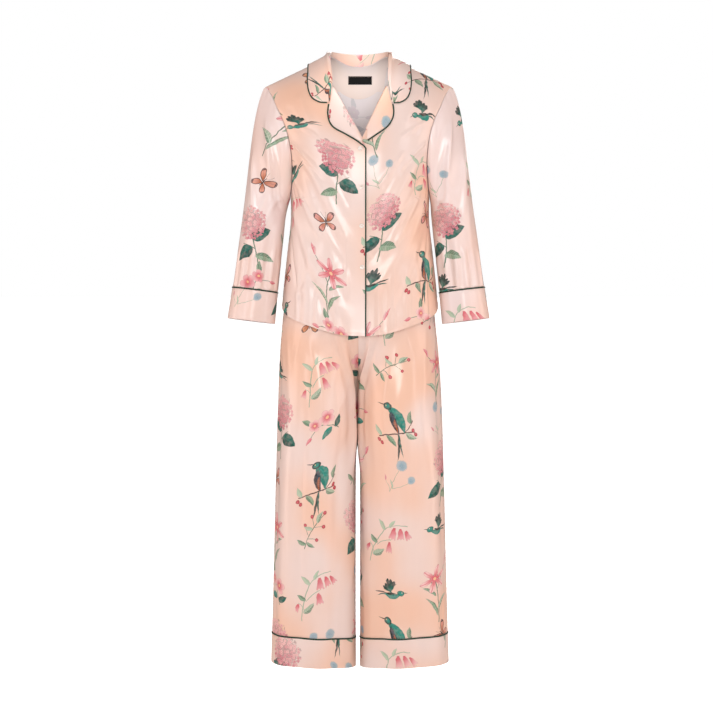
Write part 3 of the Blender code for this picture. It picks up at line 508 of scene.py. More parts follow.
class Motif(Painting):
    """One motif in its own group, painted round its middle."""

    SOFT = 0.035

    def __init__(self, kit: "BotanicalPrint", group: Group) -> None:
        """Starts a motif.

        Args:
            kit: the print whose leaf and stem are used.
            group: the motif's own group.
        """
        super().__init__(group.graph)
        self.kit, self.group, self.given = kit, group, group.given
        self.spot = Spot(self.given["X"], self.given["Y"])

    def leaves(self, rows: Sequence[tuple]) -> None:
        """Paints leaves.

        Args:
            rows: foot x, foot y, turn in degrees, length, half width as a share, bend, two inks.
        """
        for x, y, turn, length, width, bend, dark, light in rows:
            local = self.graph.place(self.spot, (x, y), turn, (length, length))
            given = {"X": local.x, "Y": local.y, "Width": width, "Bend": bend, "Dark": dark, "Light": light}
            made = self.graph.use(self.kit.leaf_tree, **given)
            self.add(made["Cover"], made["Color"])

    def stems(self, ink: Ink, rows: Sequence[tuple], spot: Optional[Spot] = None) -> None:
        """Paints stems of one ink.

        Args:
            ink: their colour.
            rows: foot x, foot y, turn in degrees, length, thickness, bend.
            spot: place to use, where it isn't the motif's own.
        """
        for x, y, turn, length, thick, bend in rows:
            local = self.graph.place(spot or self.spot, (x, y), turn, (length, length))
            given = {"X": local.x, "Y": local.y, "Width": 0.5 * thick / length, "Bend": bend}
            self.add(self.graph.use(self.kit.stroke_tree, **given)["Cover"], ink)

    def disc(self, at: Pair, size: Pair, turn: float = 0.0, spot: Optional[Spot] = None) -> tuple[Wire, Wire]:
        """An oval's cover, and its distance as a share of its size."""
        away = self.graph.away(self.graph.place(spot or self.spot, at, turn, size))
        return self.graph.ease(away, 1.0 + self.SOFT / size[1], 1.0 - self.SOFT / size[1]), away

    def close(self) -> bpy.types.NodeTree:
        """Ends the motif's group with what is painted."""
        return self.group.close(Color=self.colour, Cover=self.cover)


class BotanicalPrint:
    """Scattered blossoms, leaves, sprigs, birds and butterflies, painted in centimetres.

    The cloth is laid out in columns, each with a tall motif and a small one in turn, and each
    second column drops by half. Every motif has its own node group, given a place round its middle.
    """

    COLUMN = 12.6
    ROW = 25.0
    MOTIF_IN = dict.fromkeys(("X", "Y", "Chance"), Socket.NUMBER)
    STEM_IN = dict.fromkeys(("X", "Y", "Width", "Bend"), Socket.NUMBER)
    HEAD_IN = dict.fromkeys(("Petal X", "Petal Y", "Lobes", "Luck"), Socket.NUMBER)
    MOTIF_OUT = {"Color": Socket.COLOUR, "Cover": Socket.NUMBER}

    def __init__(self) -> None:
        """Builds the shape groups, the motif groups and the print group."""
        self.leaf_tree = self.leaf()
        self.stroke_tree = self.stroke()
        tall = (self.blossom_branch(), self.perched_bird(), self.lily_spray(), self.bell_sprig())
        small = (self.butterfly(), self.berry_twig(), self.gliding_bird(), self.wild_roses(), self.puff_stem())
        self.tree = self.scatter(tall, small)

    # -------- shapes

    def leaf(self) -> bpy.types.NodeTree:
        """One pointed leaf with its veins, from its foot at zero to its tip at one.

        Returns:
            The group: place, half width, bend and two colours in, colour and cover out.
        """
        inputs = {**self.STEM_IN, **dict.fromkeys(("Dark", "Light"), Socket.COLOUR)}
        group = Group("painted leaf", inputs, self.MOTIF_OUT)
        graph, given = group.graph, group.given
        x = given["X"]
        rest = (1.0 - x).least(0.0)
        grown = x.least(0.0)
        y = given["Y"] - grown * rest * given["Bend"]
        away = abs(y)
        width = (grown ** 0.6) * rest * given["Width"] * 2.9
        cover = graph.ease(away - width, 0.0, -0.022)
        veins = graph.ease(graph.math("SINE", (x - away * 0.8) * 46.0), 0.55, 1.0, 0.0, 0.55)
        rib = graph.ease(away, 0.022, 0.006)
        half = graph.ease(y, -0.04, 0.05, 0.15, 0.6)
        tone = (half + veins).least(rib)
        return group.close(Color=graph.mix(tone, given["Dark"], given["Light"]), Cover=cover)

    def stroke(self) -> bpy.types.NodeTree:
        """One thin bent stem from zero to one.

        Returns:
            The group: place, half width and bend in, cover out.
        """
        group = Group("painted stem", self.STEM_IN, {"Cover": Socket.NUMBER})
        graph, given = group.graph, group.given
        x = given["X"]
        y = given["Y"] - x * (1.0 - x) * given["Bend"]
        away = (abs(y) - given["Width"]).least(abs(x - 0.5) - 0.5)
        return group.close(Cover=graph.ease(away, 0.006, -0.004))

    def motif(self, name: str, more: Optional[dict[str, Socket]] = None) -> tuple["Motif", Graph, Spot]:
        """Starts one motif, with its graph and its place."""
        art = Motif(self, Group(name, {**self.MOTIF_IN, **(more or {})}, self.MOTIF_OUT))
        return art, art.graph, art.spot

    # -------- tall motifs

    def blossom_branch(self) -> bpy.types.NodeTree:
        """A full round blossom of small florets over broad leaves.

        Returns:
            The motif's group.
        """
        art, graph, spot = self.motif("blossom branch", self.HEAD_IN)
        given = art.given
        art.stems(MOSS, (
            (-0.6, -7.6, 84, 8.8, 0.24, 0.16), (-0.4, -3, 28, 3.4, 0.16, 0.2),
        ))
        art.leaves((
            (-0.3, -4.6, 196, 4.4, 0.23, -0.3, MOSS, SAGE), (0.2, -2.6, -32, 5, 0.30, 0.35, DEEP, TEAL),
            (0.1, -0.6, 158, 5.2, 0.31, -0.25, DEEP, TEAL),
        ))
        middle = graph.place(spot, (0.3, 3.2), 0.0, (1.0, 1.0))
        petal = Spot(given["Petal X"], given["Petal Y"])
        away = graph.away(petal)
        centre = graph.away(Spot(middle.x - petal.x, middle.y - petal.y))
        rim = away * (1.0 - given["Lobes"] * 0.20)
        inside = graph.ease(centre, 4.0, 3.8)
        core = graph.ease(centre, 3.2, 2.4, 0.0, 0.8)
        cover = (graph.ease(rim, 0.43, 0.35).least(core)) * inside
        light = graph.ease(middle.y * 0.6 + middle.x * 0.5 + given["Luck"] * 3.4, -2.0, 4.6)
        pale = graph.mix(given["Chance"], BLUSH, PINK)
        colour = graph.mix(light, ROSE, pale)
        colour = graph.mix(graph.ease(rim, 0.23, 0.44, 0.0, 0.55), colour, ROSE)
        colour = graph.fade(away, 0.10, 0.04, colour, BERRY)
        art.add(cover, colour)
        return art.close()

    def lily_spray(self) -> bpy.types.NodeTree:
        """A six-petalled flower, with buds and long leaves.

        Returns:
            The motif's group.
        """
        art, graph, spot = self.motif("lily spray")
        art.stems(MOSS, (
            (0.4, -8, 96, 9.6, 0.20, -0.2), (-0.2, -0.6, 58, 6.6, 0.14, 0.25),
        ))
        art.leaves((
            (0.2, -6.4, 128, 5.6, 0.09, -0.5, MOSS, SAGE), (0.2, -5, 40, 5.2, 0.10, 0.5, MOSS, PALE_LEAF),
            (-0.3, -1.8, 152, 4.2, 0.11, -0.4, MOSS, SAGE), (3, 4.7, 60, 3, 0.15, 0.1, CORAL, PINK),
            (3.1, 4.7, 82, 2.2, 0.13, 0.1, ROSE, BLUSH),
        ))
        away, angle = graph.polar(graph.place(spot, (-0.9, 2.2), 24.0, (3.9, 3.1)))
        ray = abs(graph.math("COSINE", angle * 3.0))
        reach = 0.20 + 0.80 * (ray ** 1.5) - away
        petals = graph.ease(reach, -0.015, 0.015)
        pale = graph.mix(art.given["Chance"], PINK, BLUSH)
        colour = graph.fade(away, 0.12, 0.85, CORAL, pale)
        colour = graph.mix(graph.ease(ray, 0.985, 1.0, 0.0, 0.75), colour, CORAL)
        colour = graph.mix(graph.ease(reach, 0.07, 0.0, 0.0, 0.6), colour, ROSE)
        art.add(petals, colour)
        heart, _ = art.disc((-0.9, 2.2), (0.42, 0.36))
        art.add(heart, HONEY)
        dots = graph.ease(graph.math("COSINE", angle * 6.0 + 3.1), 0.86, 0.96)
        art.add(dots * graph.ease(abs(away - 0.30), 0.05, 0.02), UMBER)
        return art.close()

    def bell_sprig(self) -> bpy.types.NodeTree:
        """An arching stem with hanging bells and small leaves.

        Returns:
            The motif's group.
        """
        art, graph, spot = self.motif("bell sprig")
        art.stems(SAGE, (
            (-3.2, -7, 78, 9, 0.18, 0.28), (-1.3, 1.8, 24, 5.6, 0.15, 0.5), (-2.4, -2.6, 38, 4.2, 0.13, 0.35),
            (-2.9, -4.6, 128, 2.2, 0.11, -0.4),
        ))
        art.leaves((
            (-2.9, -5.2, 44, 3.6, 0.20, -0.3, MOSS, PALE_LEAF), (-2.4, -2.2, 152, 2.6, 0.22, 0.3, MOSS, SAGE),
            (-1.5, 1.4, 142, 3, 0.20, -0.3, SAGE, PALE_LEAF), (-0.4, 2.6, 62, 2.4, 0.18, 0.2, SAGE, PALE_LEAF),
        ))
        pale = graph.mix(art.given["Chance"], BLUSH, PINK)
        for x, y, turn, size in (
            (0.9, 3, -86, 2.9), (2.3, 3.2, -70, 2.6), (3.6, 3, -48, 2.3), (0.6, -0.6, -78, 2.7),
            (-4.2, -3.1, -112, 2),
        ):
            bell = graph.place(spot, (x, y), turn, (size, size))
            flare = 0.10 + 0.16 * (bell.x.least(0.0) ** 2.0) + 0.10 * graph.ease(bell.x, 0.0, 0.35)
            scallop = 0.93 + 0.07 * graph.math("COSINE", bell.y * 24.0)
            edge = (abs(bell.y) - flare).least((bell.x - scallop).least(-1.0 * bell.x))
            colour = graph.fade(bell.x + 0.5 * bell.y, 0.05, 1.0, CORAL, pale)
            art.add(graph.ease(edge, 0.018, -0.018), colour)
        return art.close()

    def perched_bird(self) -> bpy.types.NodeTree:
        """A dark long-tailed bird on a twig with berries.

        Returns:
            The motif's group.
        """
        art, graph, _ = self.motif("perched bird")
        art.stems(UMBER, (
            (-4.6, -2.6, 8, 9, 0.24, 0.14), (1.2, -1.7, 46, 4.2, 0.16, -0.3),
        ))
        art.leaves((
            (-2.6, -2.2, -52, 3.2, 0.20, 0.3, MOSS, SAGE), (2, -1.6, -26, 3, 0.22, -0.3, MOSS, PALE_LEAF),
            (3.4, 0.6, 78, 3, 0.20, 0.3, MOSS, SAGE), (-3.8, -2.3, 120, 2.6, 0.22, 0.3, SAGE, PALE_LEAF),
        ))
        for x, y in ((3.9, -1.0), (4.4, -1.9), (-4.7, -3.4), (-4.0, -4.0)):
            berry, away = art.disc((x, y), (0.42, 0.46))
            art.add(berry, graph.fade(away, 0.0, 0.8, CORAL, BERRY))
        art.leaves((
            (0.2, -1.4, -98, 7.2, 0.045, 0.12, NIGHT, DEEP), (0.4, -1.3, -86, 6.4, 0.045, -0.16, NIGHT, TEAL),
            (-0.9, 4.3, -66, 6.6, 0.20, 0.45, TEAL, LAGOON), (-0.6, 3.3, -76, 5.4, 0.15, -0.25, NIGHT, NAVY),
            (-0.1, 1.7, -82, 3.6, 0.10, -0.20, UMBER, RUST), (-1.7, 4.75, 172, 1.9, 0.07, 0.1, NIGHT, UMBER),
        ))
        head, away = art.disc((-1.1, 4.5), (0.98, 0.82), 20.0)
        art.add(head, graph.fade(away, 0.2, 0.9, LAGOON, DEEP))
        eye, _ = art.disc((-1.45, 4.65), (0.13, 0.13))
        art.add(eye, HONEY)
        return art.close()

    # -------- small motifs

    def butterfly(self) -> bpy.types.NodeTree:
        """A butterfly with bordered and spotted wings.

        Returns:
            The motif's group.
        """
        art, graph, spot = self.motif("butterfly")
        spot = graph.place(spot, (0.0, 0.0), 34.0, (0.92, 0.92))
        half = Spot(abs(spot.x), spot.y)
        warm = graph.mix(art.given["Chance"], AMBER, PINK)
        for at, turn, size, wide in (((0.1, -0.1), -38.0, 2.7, 1.0), ((0.1, 0.1), 36.0, 3.5, 0.86)):
            wing = graph.place(half, at, turn, (size, size))
            width = (wing.x.least(0.0) ** 0.75) * ((1.0 - wing.x).least(0.0) ** 0.42) * (0.62 * wide)
            edge = width - abs(wing.y)
            colour = graph.fade(wing.x, 0.15, 0.8, RUST, warm)
            ribs = abs(graph.math("SINE", (wing.y / (wing.x + 0.25)) * 13.0))
            colour = graph.mix(graph.ease(ribs, 0.14, 0.04, 0.0, 0.7), colour, UMBER)
            border = graph.ease(edge, 0.09, 0.05).least(graph.ease(wing.x, 0.80, 0.88))
            colour = graph.mix(border, colour, UMBER)
            dots = graph.ease(graph.math("SINE", wing.y * 52.0), 0.35, 0.8)
            dots = dots * graph.ease(abs(wing.x - 0.93), 0.03, 0.012)
            art.add(graph.ease(edge, 0.0, 0.024), graph.mix(dots, colour, BLUSH))
        body, _ = art.disc((0.0, 0.1), (0.17, 1.25), 0.0, spot)
        art.add(body, UMBER)
        art.stems(UMBER, ((0.02, 1.1, 62, 1.7, 0.055, -0.3),), half)
        return art.close()

    def berry_twig(self) -> bpy.types.NodeTree:
        """A thin twig with berries on stalks and narrow leaves.

        Returns:
            The motif's group.
        """
        art, graph, _ = self.motif("berry twig")
        art.stems(MOSS, (
            (-4.4, -1.6, 20, 8.8, 0.15, 0.3), (-1.6, 0.2, 74, 2.4, 0.10, 0.2), (0.6, 1, 70, 2.2, 0.10, -0.2),
            (0.2, 0.9, -40, 2.4, 0.10, 0.2), (-2.4, -0.3, -46, 2.2, 0.10, 0.2),
        ))
        for x, y in ((-0.9, 2.6), (1.5, 3.1), (2.1, -0.8), (-0.8, -2.0), (4.1, 1.6)):
            berry, away = art.disc((x, y), (0.40, 0.46))
            art.add(berry, graph.fade(away, 0.1, 0.9, CORAL, BERRY))
        art.leaves((
            (-3.4, -1, 118, 2.7, 0.19, 0.3, MOSS, SAGE), (-3, -0.8, -70, 2.4, 0.20, -0.3, MOSS, SAGE),
            (1.6, 1.1, 26, 2.8, 0.20, 0.3, MOSS, PALE_LEAF), (0, 0.8, 128, 2.3, 0.20, 0.3, SAGE, PALE_LEAF),
        ))
        return art.close()

    def gliding_bird(self) -> bpy.types.NodeTree:
        """A small dark bird with raised wings of separate feathers.

        Returns:
            The motif's group.
        """
        art, graph, spot = self.motif("gliding bird")
        for at, turn, size in (((0.3, 0.2), 104.0, (3.3, 2.9)), ((-0.2, 0.2), 52.0, (2.7, 2.5))):
            away, angle = graph.polar(graph.place(spot, at, turn, size))
            scallop = 0.86 + 0.14 * abs(graph.math("COSINE", angle * 9.0))
            wing = graph.ease(away - scallop, 0.012, -0.012) * graph.ease(abs(angle), 0.62, 0.52)
            bars = graph.ease(abs(graph.math("SINE", angle * 9.0)), 0.3, 0.05, 0.0, 0.7)
            colour = graph.fade(away, 0.25, 0.8, TEAL, DEEP)
            art.add(wing, graph.mix(bars, colour, NIGHT))
        art.leaves((
            (1.2, 0.1, 2, 3.4, 0.060, 0.2, NIGHT, DEEP), (1.2, -0.1, -10, 3.1, 0.055, 0.2, NIGHT, TEAL),
            (2, -0.1, 178, 4.6, 0.150, 0.35, TEAL, LAGOON), (1.6, 0.1, 176, 3, 0.100, 0.2, DEEP, NIGHT),
            (-2.7, 0.25, 184, 1.3, 0.070, 0, NIGHT, UMBER),
        ))
        head, away = art.disc((-2.3, 0.2), (0.80, 0.66), 10.0)
        art.add(head, graph.fade(away, 0.3, 0.9, LAGOON, TEAL))
        eye, _ = art.disc((-2.55, 0.35), (0.11, 0.11))
        art.add(eye, BLUSH)
        return art.close()

    def wild_roses(self) -> bpy.types.NodeTree:
        """Two five-petalled roses on a leafy stem, and a bud.

        Returns:
            The motif's group.
        """
        art, graph, spot = self.motif("wild roses")
        art.stems(MOSS, (
            (-3.4, -2.6, 36, 7.4, 0.15, 0.2), (0.4, 0.4, -30, 3.2, 0.12, 0.3),
        ))
        art.leaves((
            (-2.6, -2, 130, 3, 0.26, 0.2, DEEP, TEAL), (-1.8, -1.5, -28, 3.2, 0.26, 0.2, TEAL, LAGOON),
            (2.3, 1.8, 52, 2.6, 0.24, 0.2, MOSS, SAGE), (3, -1.2, -34, 1.9, 0.22, 0.1, CORAL, PINK),
        ))
        pale = graph.mix(art.given["Chance"], BLUSH, PINK)
        for at, turn, size in (((-1.5, 1.3), 10.0, (2.0, 1.8)), ((1.5, 1.1), 50.0, (1.55, 1.4))):
            away, angle = graph.polar(graph.place(spot, at, turn, size))
            lobe = abs(graph.math("COSINE", angle * 2.5))
            reach = 0.55 + 0.45 * (lobe ** 0.5) - away
            colour = graph.fade(away, 0.15, 0.85, CORAL, pale)
            colour = graph.mix(graph.ease(lobe, 0.30, 0.08, 0.0, 0.7), colour, ROSE)
            art.add(graph.ease(reach, -0.03, 0.03), colour)
            heart, _ = art.disc(at, (0.19 * size[0], 0.18 * size[0]))
            art.add(heart, HONEY)
        return art.close()

    def puff_stem(self) -> bpy.types.NodeTree:
        """Two pale blue puffs on hair-thin stems.

        Returns:
            The motif's group.
        """
        art, graph, spot = self.motif("puff stem")
        art.stems(SAGE, (
            (-0.6, -3.9, 72, 6, 0.09, -0.2), (-0.4, -3, 118, 4.6, 0.08, 0.2), (-0.6, -3.9, 20, 3, 0.08, 0.4),
        ))
        art.leaves((
            (-0.5, -2.9, 30, 2.4, 0.10, 0.3, SAGE, PALE_LEAF), (2, -2.9, 40, 1.5, 0.16, 0.3, ROSE, PINK),
        ))
        for at, size in (((1.4, 2.6), 1.45), ((-2.6, 1.5), 1.1)):
            away, angle = graph.polar(graph.place(spot, at, 0.0, (size, size * 0.94)))
            rays = abs(graph.math("SINE", angle * 13.0))
            puff = graph.ease(away + 0.22 * rays, 1.04, 0.94)
            tone = graph.ease(away, 0.1, 0.9).least(graph.ease(rays, 0.35, 0.75))
            art.add(puff, graph.mix(tone, SLATE, MIST))
        return art.close()

    # -------- layout

    def scatter(self, tall: Sequence[bpy.types.NodeTree], small: Sequence[bpy.types.NodeTree]) -> bpy.types.NodeTree:
        """The whole print over the cloth.

        Args:
            tall: motif groups that stand in the middle of each cell; the first has florets.
            small: motif groups between them.

        Returns:
            The group: place on the cloth in metres in, colour and cover out.
        """
        group = Group("botanical print", {"Place": Socket.PLACE}, self.MOTIF_OUT)
        graph = group.graph
        place = graph.stretched(group.given["Place"], (100.0, 100.0, 100.0))
        shaky = graph.noise(place, 0.9, 1.0)
        shake = graph.spot(Wire(graph, shaky.outputs[1]))
        petals = graph.node("TexVoronoi", voronoi_dimensions="2D", feature="F1")
        graph.feed(petals.inputs["Vector"], place)
        petals.inputs["Scale"].default_value = 1.32
        petals.inputs["Randomness"].default_value = 0.85
        offset = graph.places("SUBTRACT", place, Wire(graph, petals.outputs["Position"]))
        petal = graph.spot(Wire(graph, offset.outputs[0]))
        luck = graph.part(Wire(graph, petals.outputs["Color"]), 0)
        lobes = graph.math("COSINE", graph.math("ARCTAN2", petal.y, petal.x) * 4.0 + luck * 6.0)
        flat = graph.spot(place)
        bent = Spot(
            flat.x + 1.3 * graph.math("SINE", flat.y * 0.115 + 0.7) + 0.42 * (shake.x - 0.5),
            flat.y + 1.5 * graph.math("SINE", flat.x * 0.16 + 2.0) + 0.42 * (shake.y - 0.5),
        )
        column = graph.math("FLOOR", bent.x / self.COLUMN)
        half_drop = graph.math("MODULO", abs(column), 2.0) * (0.5 * self.ROW)
        art = Painting(graph)
        for layer, (motifs, lift, swing) in enumerate(((small, 0.5, 0.9), (tall, 0.0, 0.24))):
            lowered = bent.y + half_drop + lift * self.ROW
            row = graph.math("FLOOR", lowered / self.ROW)
            rolls = []
            for roll in range(3):
                dice = graph.node("TexWhiteNoise", noise_dimensions="3D")
                graph.feed(dice.inputs["Vector"], graph.joined(column, row, 3.0 + layer + 2.0 * roll))
                rolls.append(Wire(graph, dice.outputs["Value"]))
            first, second, third = rolls
            mirror = graph.math("SIGN", third - 0.5)
            x = (bent.x - (column + 0.5) * self.COLUMN + (first - 0.5) * 1.6) * mirror
            y = lowered - (row + 0.5) * self.ROW + (second - 0.5) * 2.4
            turn = (first + second - 1.0) * swing
            cos, sin = graph.math("COSINE", turn), graph.math("SINE", turn)
            local = Spot(x * cos - y * sin, x * sin + y * cos)
            kind = graph.math("FLOORED_MODULO", column * 3.0 + row * 2.0 + layer, float(len(motifs)))
            for number, motif in enumerate(motifs):
                more = {}
                if layer == 1 and number == 0:
                    across = petal.x * mirror
                    more = {
                        "Petal X": across * cos - petal.y * sin, "Petal Y": across * sin + petal.y * cos,
                        "Lobes": lobes, "Luck": luck,
                    }
                made = graph.use(motif, X=local.x, Y=local.y, Chance=third, **more)
                chosen = graph.math("COMPARE", kind, float(number), 0.5)
                art.add(made["Cover"] * chosen, made["Color"])
        wash = Wire(graph, shaky.outputs[0])
        colour = graph.mix(graph.ease(wash, 0.35, 0.75, 0.0, 0.14), art.colour, BLUSH)
        return group.close(Color=colour, Cover=art.cover)


# ---------------------------------------------------------------- finishes

class Weave:
    """The satin's ground: slow changes of tint, and the fine warp and weft, as one node group."""

    def __init__(self) -> None:
        """Builds the group: place and two tints in, colour and grey height out."""
        inputs = {"Place": Socket.PLACE, "Ground": Socket.COLOUR, "Warm": Socket.COLOUR}
        group = Group("satin ground", inputs, {"Color": Socket.COLOUR, "Height": Socket.NUMBER})
        graph, given = group.graph, group.given
        tint = graph.noise_value(given["Place"], 4.5, 1.0)
        warp = graph.noise_value(graph.stretched(given["Place"], (1500.0, 120.0, 1.0)), 1.0, 1.0)
        weft = graph.noise_value(graph.stretched(given["Place"], (240.0, 1900.0, 1.0)), 1.0, 0.0)
        ground = graph.mix(graph.ease(tint, 0.35, 0.70), given["Ground"], given["Warm"])
        self.tree = group.close(Color=ground, Height=warp * 0.65 + weft * 0.35)


@dataclass(frozen=True)
class Satin:
    """Printed satin: glossy face with fine warp streaks, dull grey-lavender wrong side; the wrong side and the plain
    lining carry painted light, their tints raised lighter for the shaded inside.
    """

    print_tree: bpy.types.NodeTree
    ground_tree: bpy.types.NodeTree
    ground: str = "efdcd4"
    warm: str = "f3c9b0"
    # tints of the wrong side: its own grey-lavender, raised lighter as painted light for the shaded inside
    wrong: str = "f0e8ec"
    wrong_warm: str = "f4e8e4"
    # tints of the plain lining: its own pale colour raised lighter, as painted light for the shaded inside of the neck
    lining_painted_lighter: str = "fcefea"
    lining_warm_painted_lighter: str = "fbe8dd"
    roughness: float = 0.24
    gloss: float = 1.0
    weave: float = 0.00035

    def face(self, name: str, printed: bool = True) -> bpy.types.Material:
        """The shiny right side.

        Args:
            name: the material's name.
            printed: whether the print is on it.

        Returns:
            The material.
        """
        material, graph, shader, spot = begun(name)
        # without the print the lining tints are used, painted lighter as painted light inside the neck
        ground, warm = (self.ground, self.warm) if printed else (self.lining_painted_lighter, self.lining_warm_painted_lighter)
        made = graph.use(self.ground_tree, Place=spot, Ground=shade(ground), Warm=shade(warm))
        colour, height = made["Color"], made["Height"]
        shader.inputs["Coat Weight"].default_value = self.gloss
        if printed:
            art = graph.use(self.print_tree, Place=spot)
            colour = graph.mix(art["Cover"] * 0.97, colour, art["Color"])
            graph.feed(shader.inputs["Coat Weight"], self.gloss - art["Cover"] * (self.gloss * 0.7))
        graph.feed(shader.inputs["Base Color"], colour)
        graph.feed(shader.inputs["Roughness"], graph.ease(height, 0.2, 0.8, 0.46, 0.60))
        shader.inputs["Coat Roughness"].default_value = self.roughness
        shader.inputs["Specular IOR Level"].default_value = 0.12
        bump(graph, shader, height, self.weave, 0.35)
        return material

    def back(self, name: str) -> bpy.types.Material:
        """The dull wrong side, with the print faintly through it and its ground painted lighter as painted light for
        the shaded inside.

        Args:
            name: the material's name.

        Returns:
            The material.
        """
        material, graph, shader, spot = begun(name)
        # wrong-side ground: own colour, painted lighter as painted light for the inside
        made = graph.use(self.ground_tree, Place=spot, Ground=shade(self.wrong), Warm=shade(self.wrong_warm))
        height = made["Height"]
        art = graph.use(self.print_tree, Place=spot)
        through = graph.mix(0.62, art["Color"], shade("8f9bb0"))
        graph.feed(shader.inputs["Base Color"], graph.mix(art["Cover"] * 0.30, made["Color"], through))
        graph.feed(shader.inputs["Roughness"], graph.ease(height, 0.2, 0.8, 0.58, 0.72))
        shader.inputs["Sheen Weight"].default_value = 0.3
        bump(graph, shader, height, self.weave, 0.5)
        return material


def begun(name: str) -> tuple[bpy.types.Material, Graph, bpy.types.Node, Wire]:
    """Starts a cloth material.

    Args:
        name: its name.

    Returns:
        The material, its graph, its shader and the place on the cloth in metres.
    """
    material = bpy.data.materials.new(name)
    material.use_nodes = True
    graph = Graph(material.node_tree)
    shader = material.node_tree.nodes["Principled BSDF"]
    spot = Wire(graph, graph.node("UVMap", uv_map=CUT_MAP).outputs[0])
    return material, graph, shader, spot


def bump(graph: Graph, shader: bpy.types.Node, height: Wire, depth: float, strength: float) -> None:
    """Feeds a height to a shader's normal.

    Args:
        graph: the material.
        shader: its shader.
        height: what stands out.
        depth: how far in metres.
        strength: how strongly it shows.
    """
    made = graph.node("Bump")
    made.inputs["Strength"].default_value = strength
    made.inputs["Distance"].default_value = depth
    graph.feed(made.inputs["Height"], height)
    graph.feed(shader.inputs["Normal"], Wire(graph, made.outputs[0]))


@dataclass(frozen=True)
class Solid:
    """Finish of a small part: two close colours over a fine grain."""

    dark: str
    light: str
    grain: float
    roughness: float
    depth: float = 0.0002
    coat: float = 0.0
    sheen: float = 0.0
    stretch: Triple = (1.0, 1.0, 1.0)

    def made(self, name: str) -> bpy.types.Material:
        """The material.

        Args:
            name: its name.

        Returns:
            The material.
        """
        material = bpy.data.materials.new(name)
        material.use_nodes = True
        graph = Graph(material.node_tree)
        shader = material.node_tree.nodes["Principled BSDF"]
        place = Wire(graph, graph.node("TexCoord").outputs["Object"])
        height = graph.noise_value(graph.stretched(place, self.stretch), self.grain, 2.0)
        share = graph.ease(height, 0.3, 0.7)
        graph.feed(shader.inputs["Base Color"], graph.mix(share, shade(self.dark), shade(self.light)))
        graph.feed(shader.inputs["Roughness"], graph.ease(height, 0.3, 0.7, self.roughness, self.roughness + 0.12))
        shader.inputs["Coat Weight"].default_value = self.coat
        shader.inputs["Sheen Weight"].default_value = self.sheen
        bump(graph, shader, height, self.depth, 0.6)
        return material


# ---------------------------------------------------------------- cloth shells and trim

def finer(values: Grid, parts: int) -> Grid:
    """Each step of rising values cut in equal parts."""
    count = (len(values) - 1) * parts + 1
    return np.interp(np.linspace(0.0, len(values) - 1.0, count), np.arange(len(values)), values)


def edged(values: Grid, first: bool = True, last: bool = True) -> Grid:
    """Values with two close ones added at each seamed end.

    Args:
        values: rising or falling values.
        first, last: which ends are seamed.

    Returns:
        The values with those added.
    """
    start, end = values[1] - values[0], values[-1] - values[-2]
    if first:
        values = np.concatenate([values[:1], values[0] + start * np.array([0.14, 0.38]), values[1:]])
    if last:
        values = np.concatenate([values[:-1], values[-1] - end * np.array([0.38, 0.14]), values[-1:]])
    return values


def lengths(grid: Grid, axis: int) -> Grid:
    """Length travelled along an axis of a grid of points, from its start.

    Args:
        grid: the points.
        axis: the axis.

    Returns:
        Metres from the start.
    """
    steps = np.linalg.norm(np.diff(grid, axis=axis), axis=-1)
    lead = np.zeros_like(np.take(steps, [0], axis=axis))
    return np.concatenate([lead, np.cumsum(steps, axis=axis)], axis=axis)


def unrolled(grid: Grid, origin: Pair = (0.0, 0.0), sense: float = 1.0) -> Grid:
    """Places on the printed cloth of a grid laid flat from its first corner."""
    return np.stack([sense * lengths(grid, 1), -lengths(grid, 0)], axis=-1) + origin


def ringed(grid: Grid) -> Grid:
    """A grid with its first column again at its end."""
    return np.concatenate([grid, grid[:, :1]], axis=1)


def beside(line: Grid, away: Grid, step: float, least: float = 0.0) -> Grid:
    """A line moved sideways, with its corners mitred.

    Args:
        line: its points.
        away: which way each stretch moves.
        step: how far.
        least: floor that keeps the sharpest corners short.

    Returns:
        The moved points.
    """
    before, after = np.concatenate([away[:1], away]), np.concatenate([away, away[-1:]])
    share = 1.0 + np.sum(before * after, axis=-1, keepdims=True)
    return line + (before + after) * step / np.maximum(share, least)


def grid_normals(grid: Grid, wrap: bool = False) -> Grid:
    """Normals of a grid of points from its neighbours.

    Args:
        grid: the points.
        wrap: whether its columns close.

    Returns:
        A unit normal for each point.
    """
    down = np.gradient(grid, axis=0)
    across = np.roll(grid, -1, axis=1) - np.roll(grid, 1, axis=1) if wrap else np.gradient(grid, axis=1)
    return unit(np.cross(across, down))


@dataclass(frozen=True)
class Edges:
    """Distance of each grid point from the four edges of its piece, and which edges are sewn."""

    left: Grid
    right: Grid
    top: Grid
    bottom: Grid
    sewn: Sewn

    @classmethod
    def of(cls, grid: Grid, sewn: Sewn) -> "Edges":
        """Measures a grid of points; sewn says it of the left, right, top and bottom edges."""
        across, down = lengths(grid, 1), lengths(grid, 0)
        return cls(across, across[:, -1:] - across, down, down[-1:] - down, sewn)

    def nearest(self) -> Grid:
        """Distance from the nearest sewn edge."""
        sides = [side for side, sewn in zip((self.left, self.right, self.top, self.bottom), self.sewn) if sewn]
        return np.minimum.reduce(sides) if sides else np.ones_like(self.left)

    def seams(self, seed: float, pucker: float = 0.00028, dip: float = 0.0009) -> Grid:
        """Height of the sewn edges: turned in at the seam, and puckered beside it.

        Args:
            seed: shifts the puckers.
            pucker: height of the puckers.
            dip: how far the edge is turned in.

        Returns:
            Metres that the cloth stands out.
        """
        total = np.zeros_like(self.left)
        along = ((self.left, self.top), (self.right, self.top), (self.top, self.left), (self.bottom, self.left))
        for number, ((away, run), sewn) in enumerate(zip(along, self.sewn)):
            if sewn:
                wave = np.sin(run * 420.0 + 3.0 * wander(run * 60.0, away * 20.0, seed + number))
                total += pucker * wave * np.exp(-away / 0.007) * (1.0 - np.exp(-away / 0.001))
                total -= dip * rim(away)
        return total


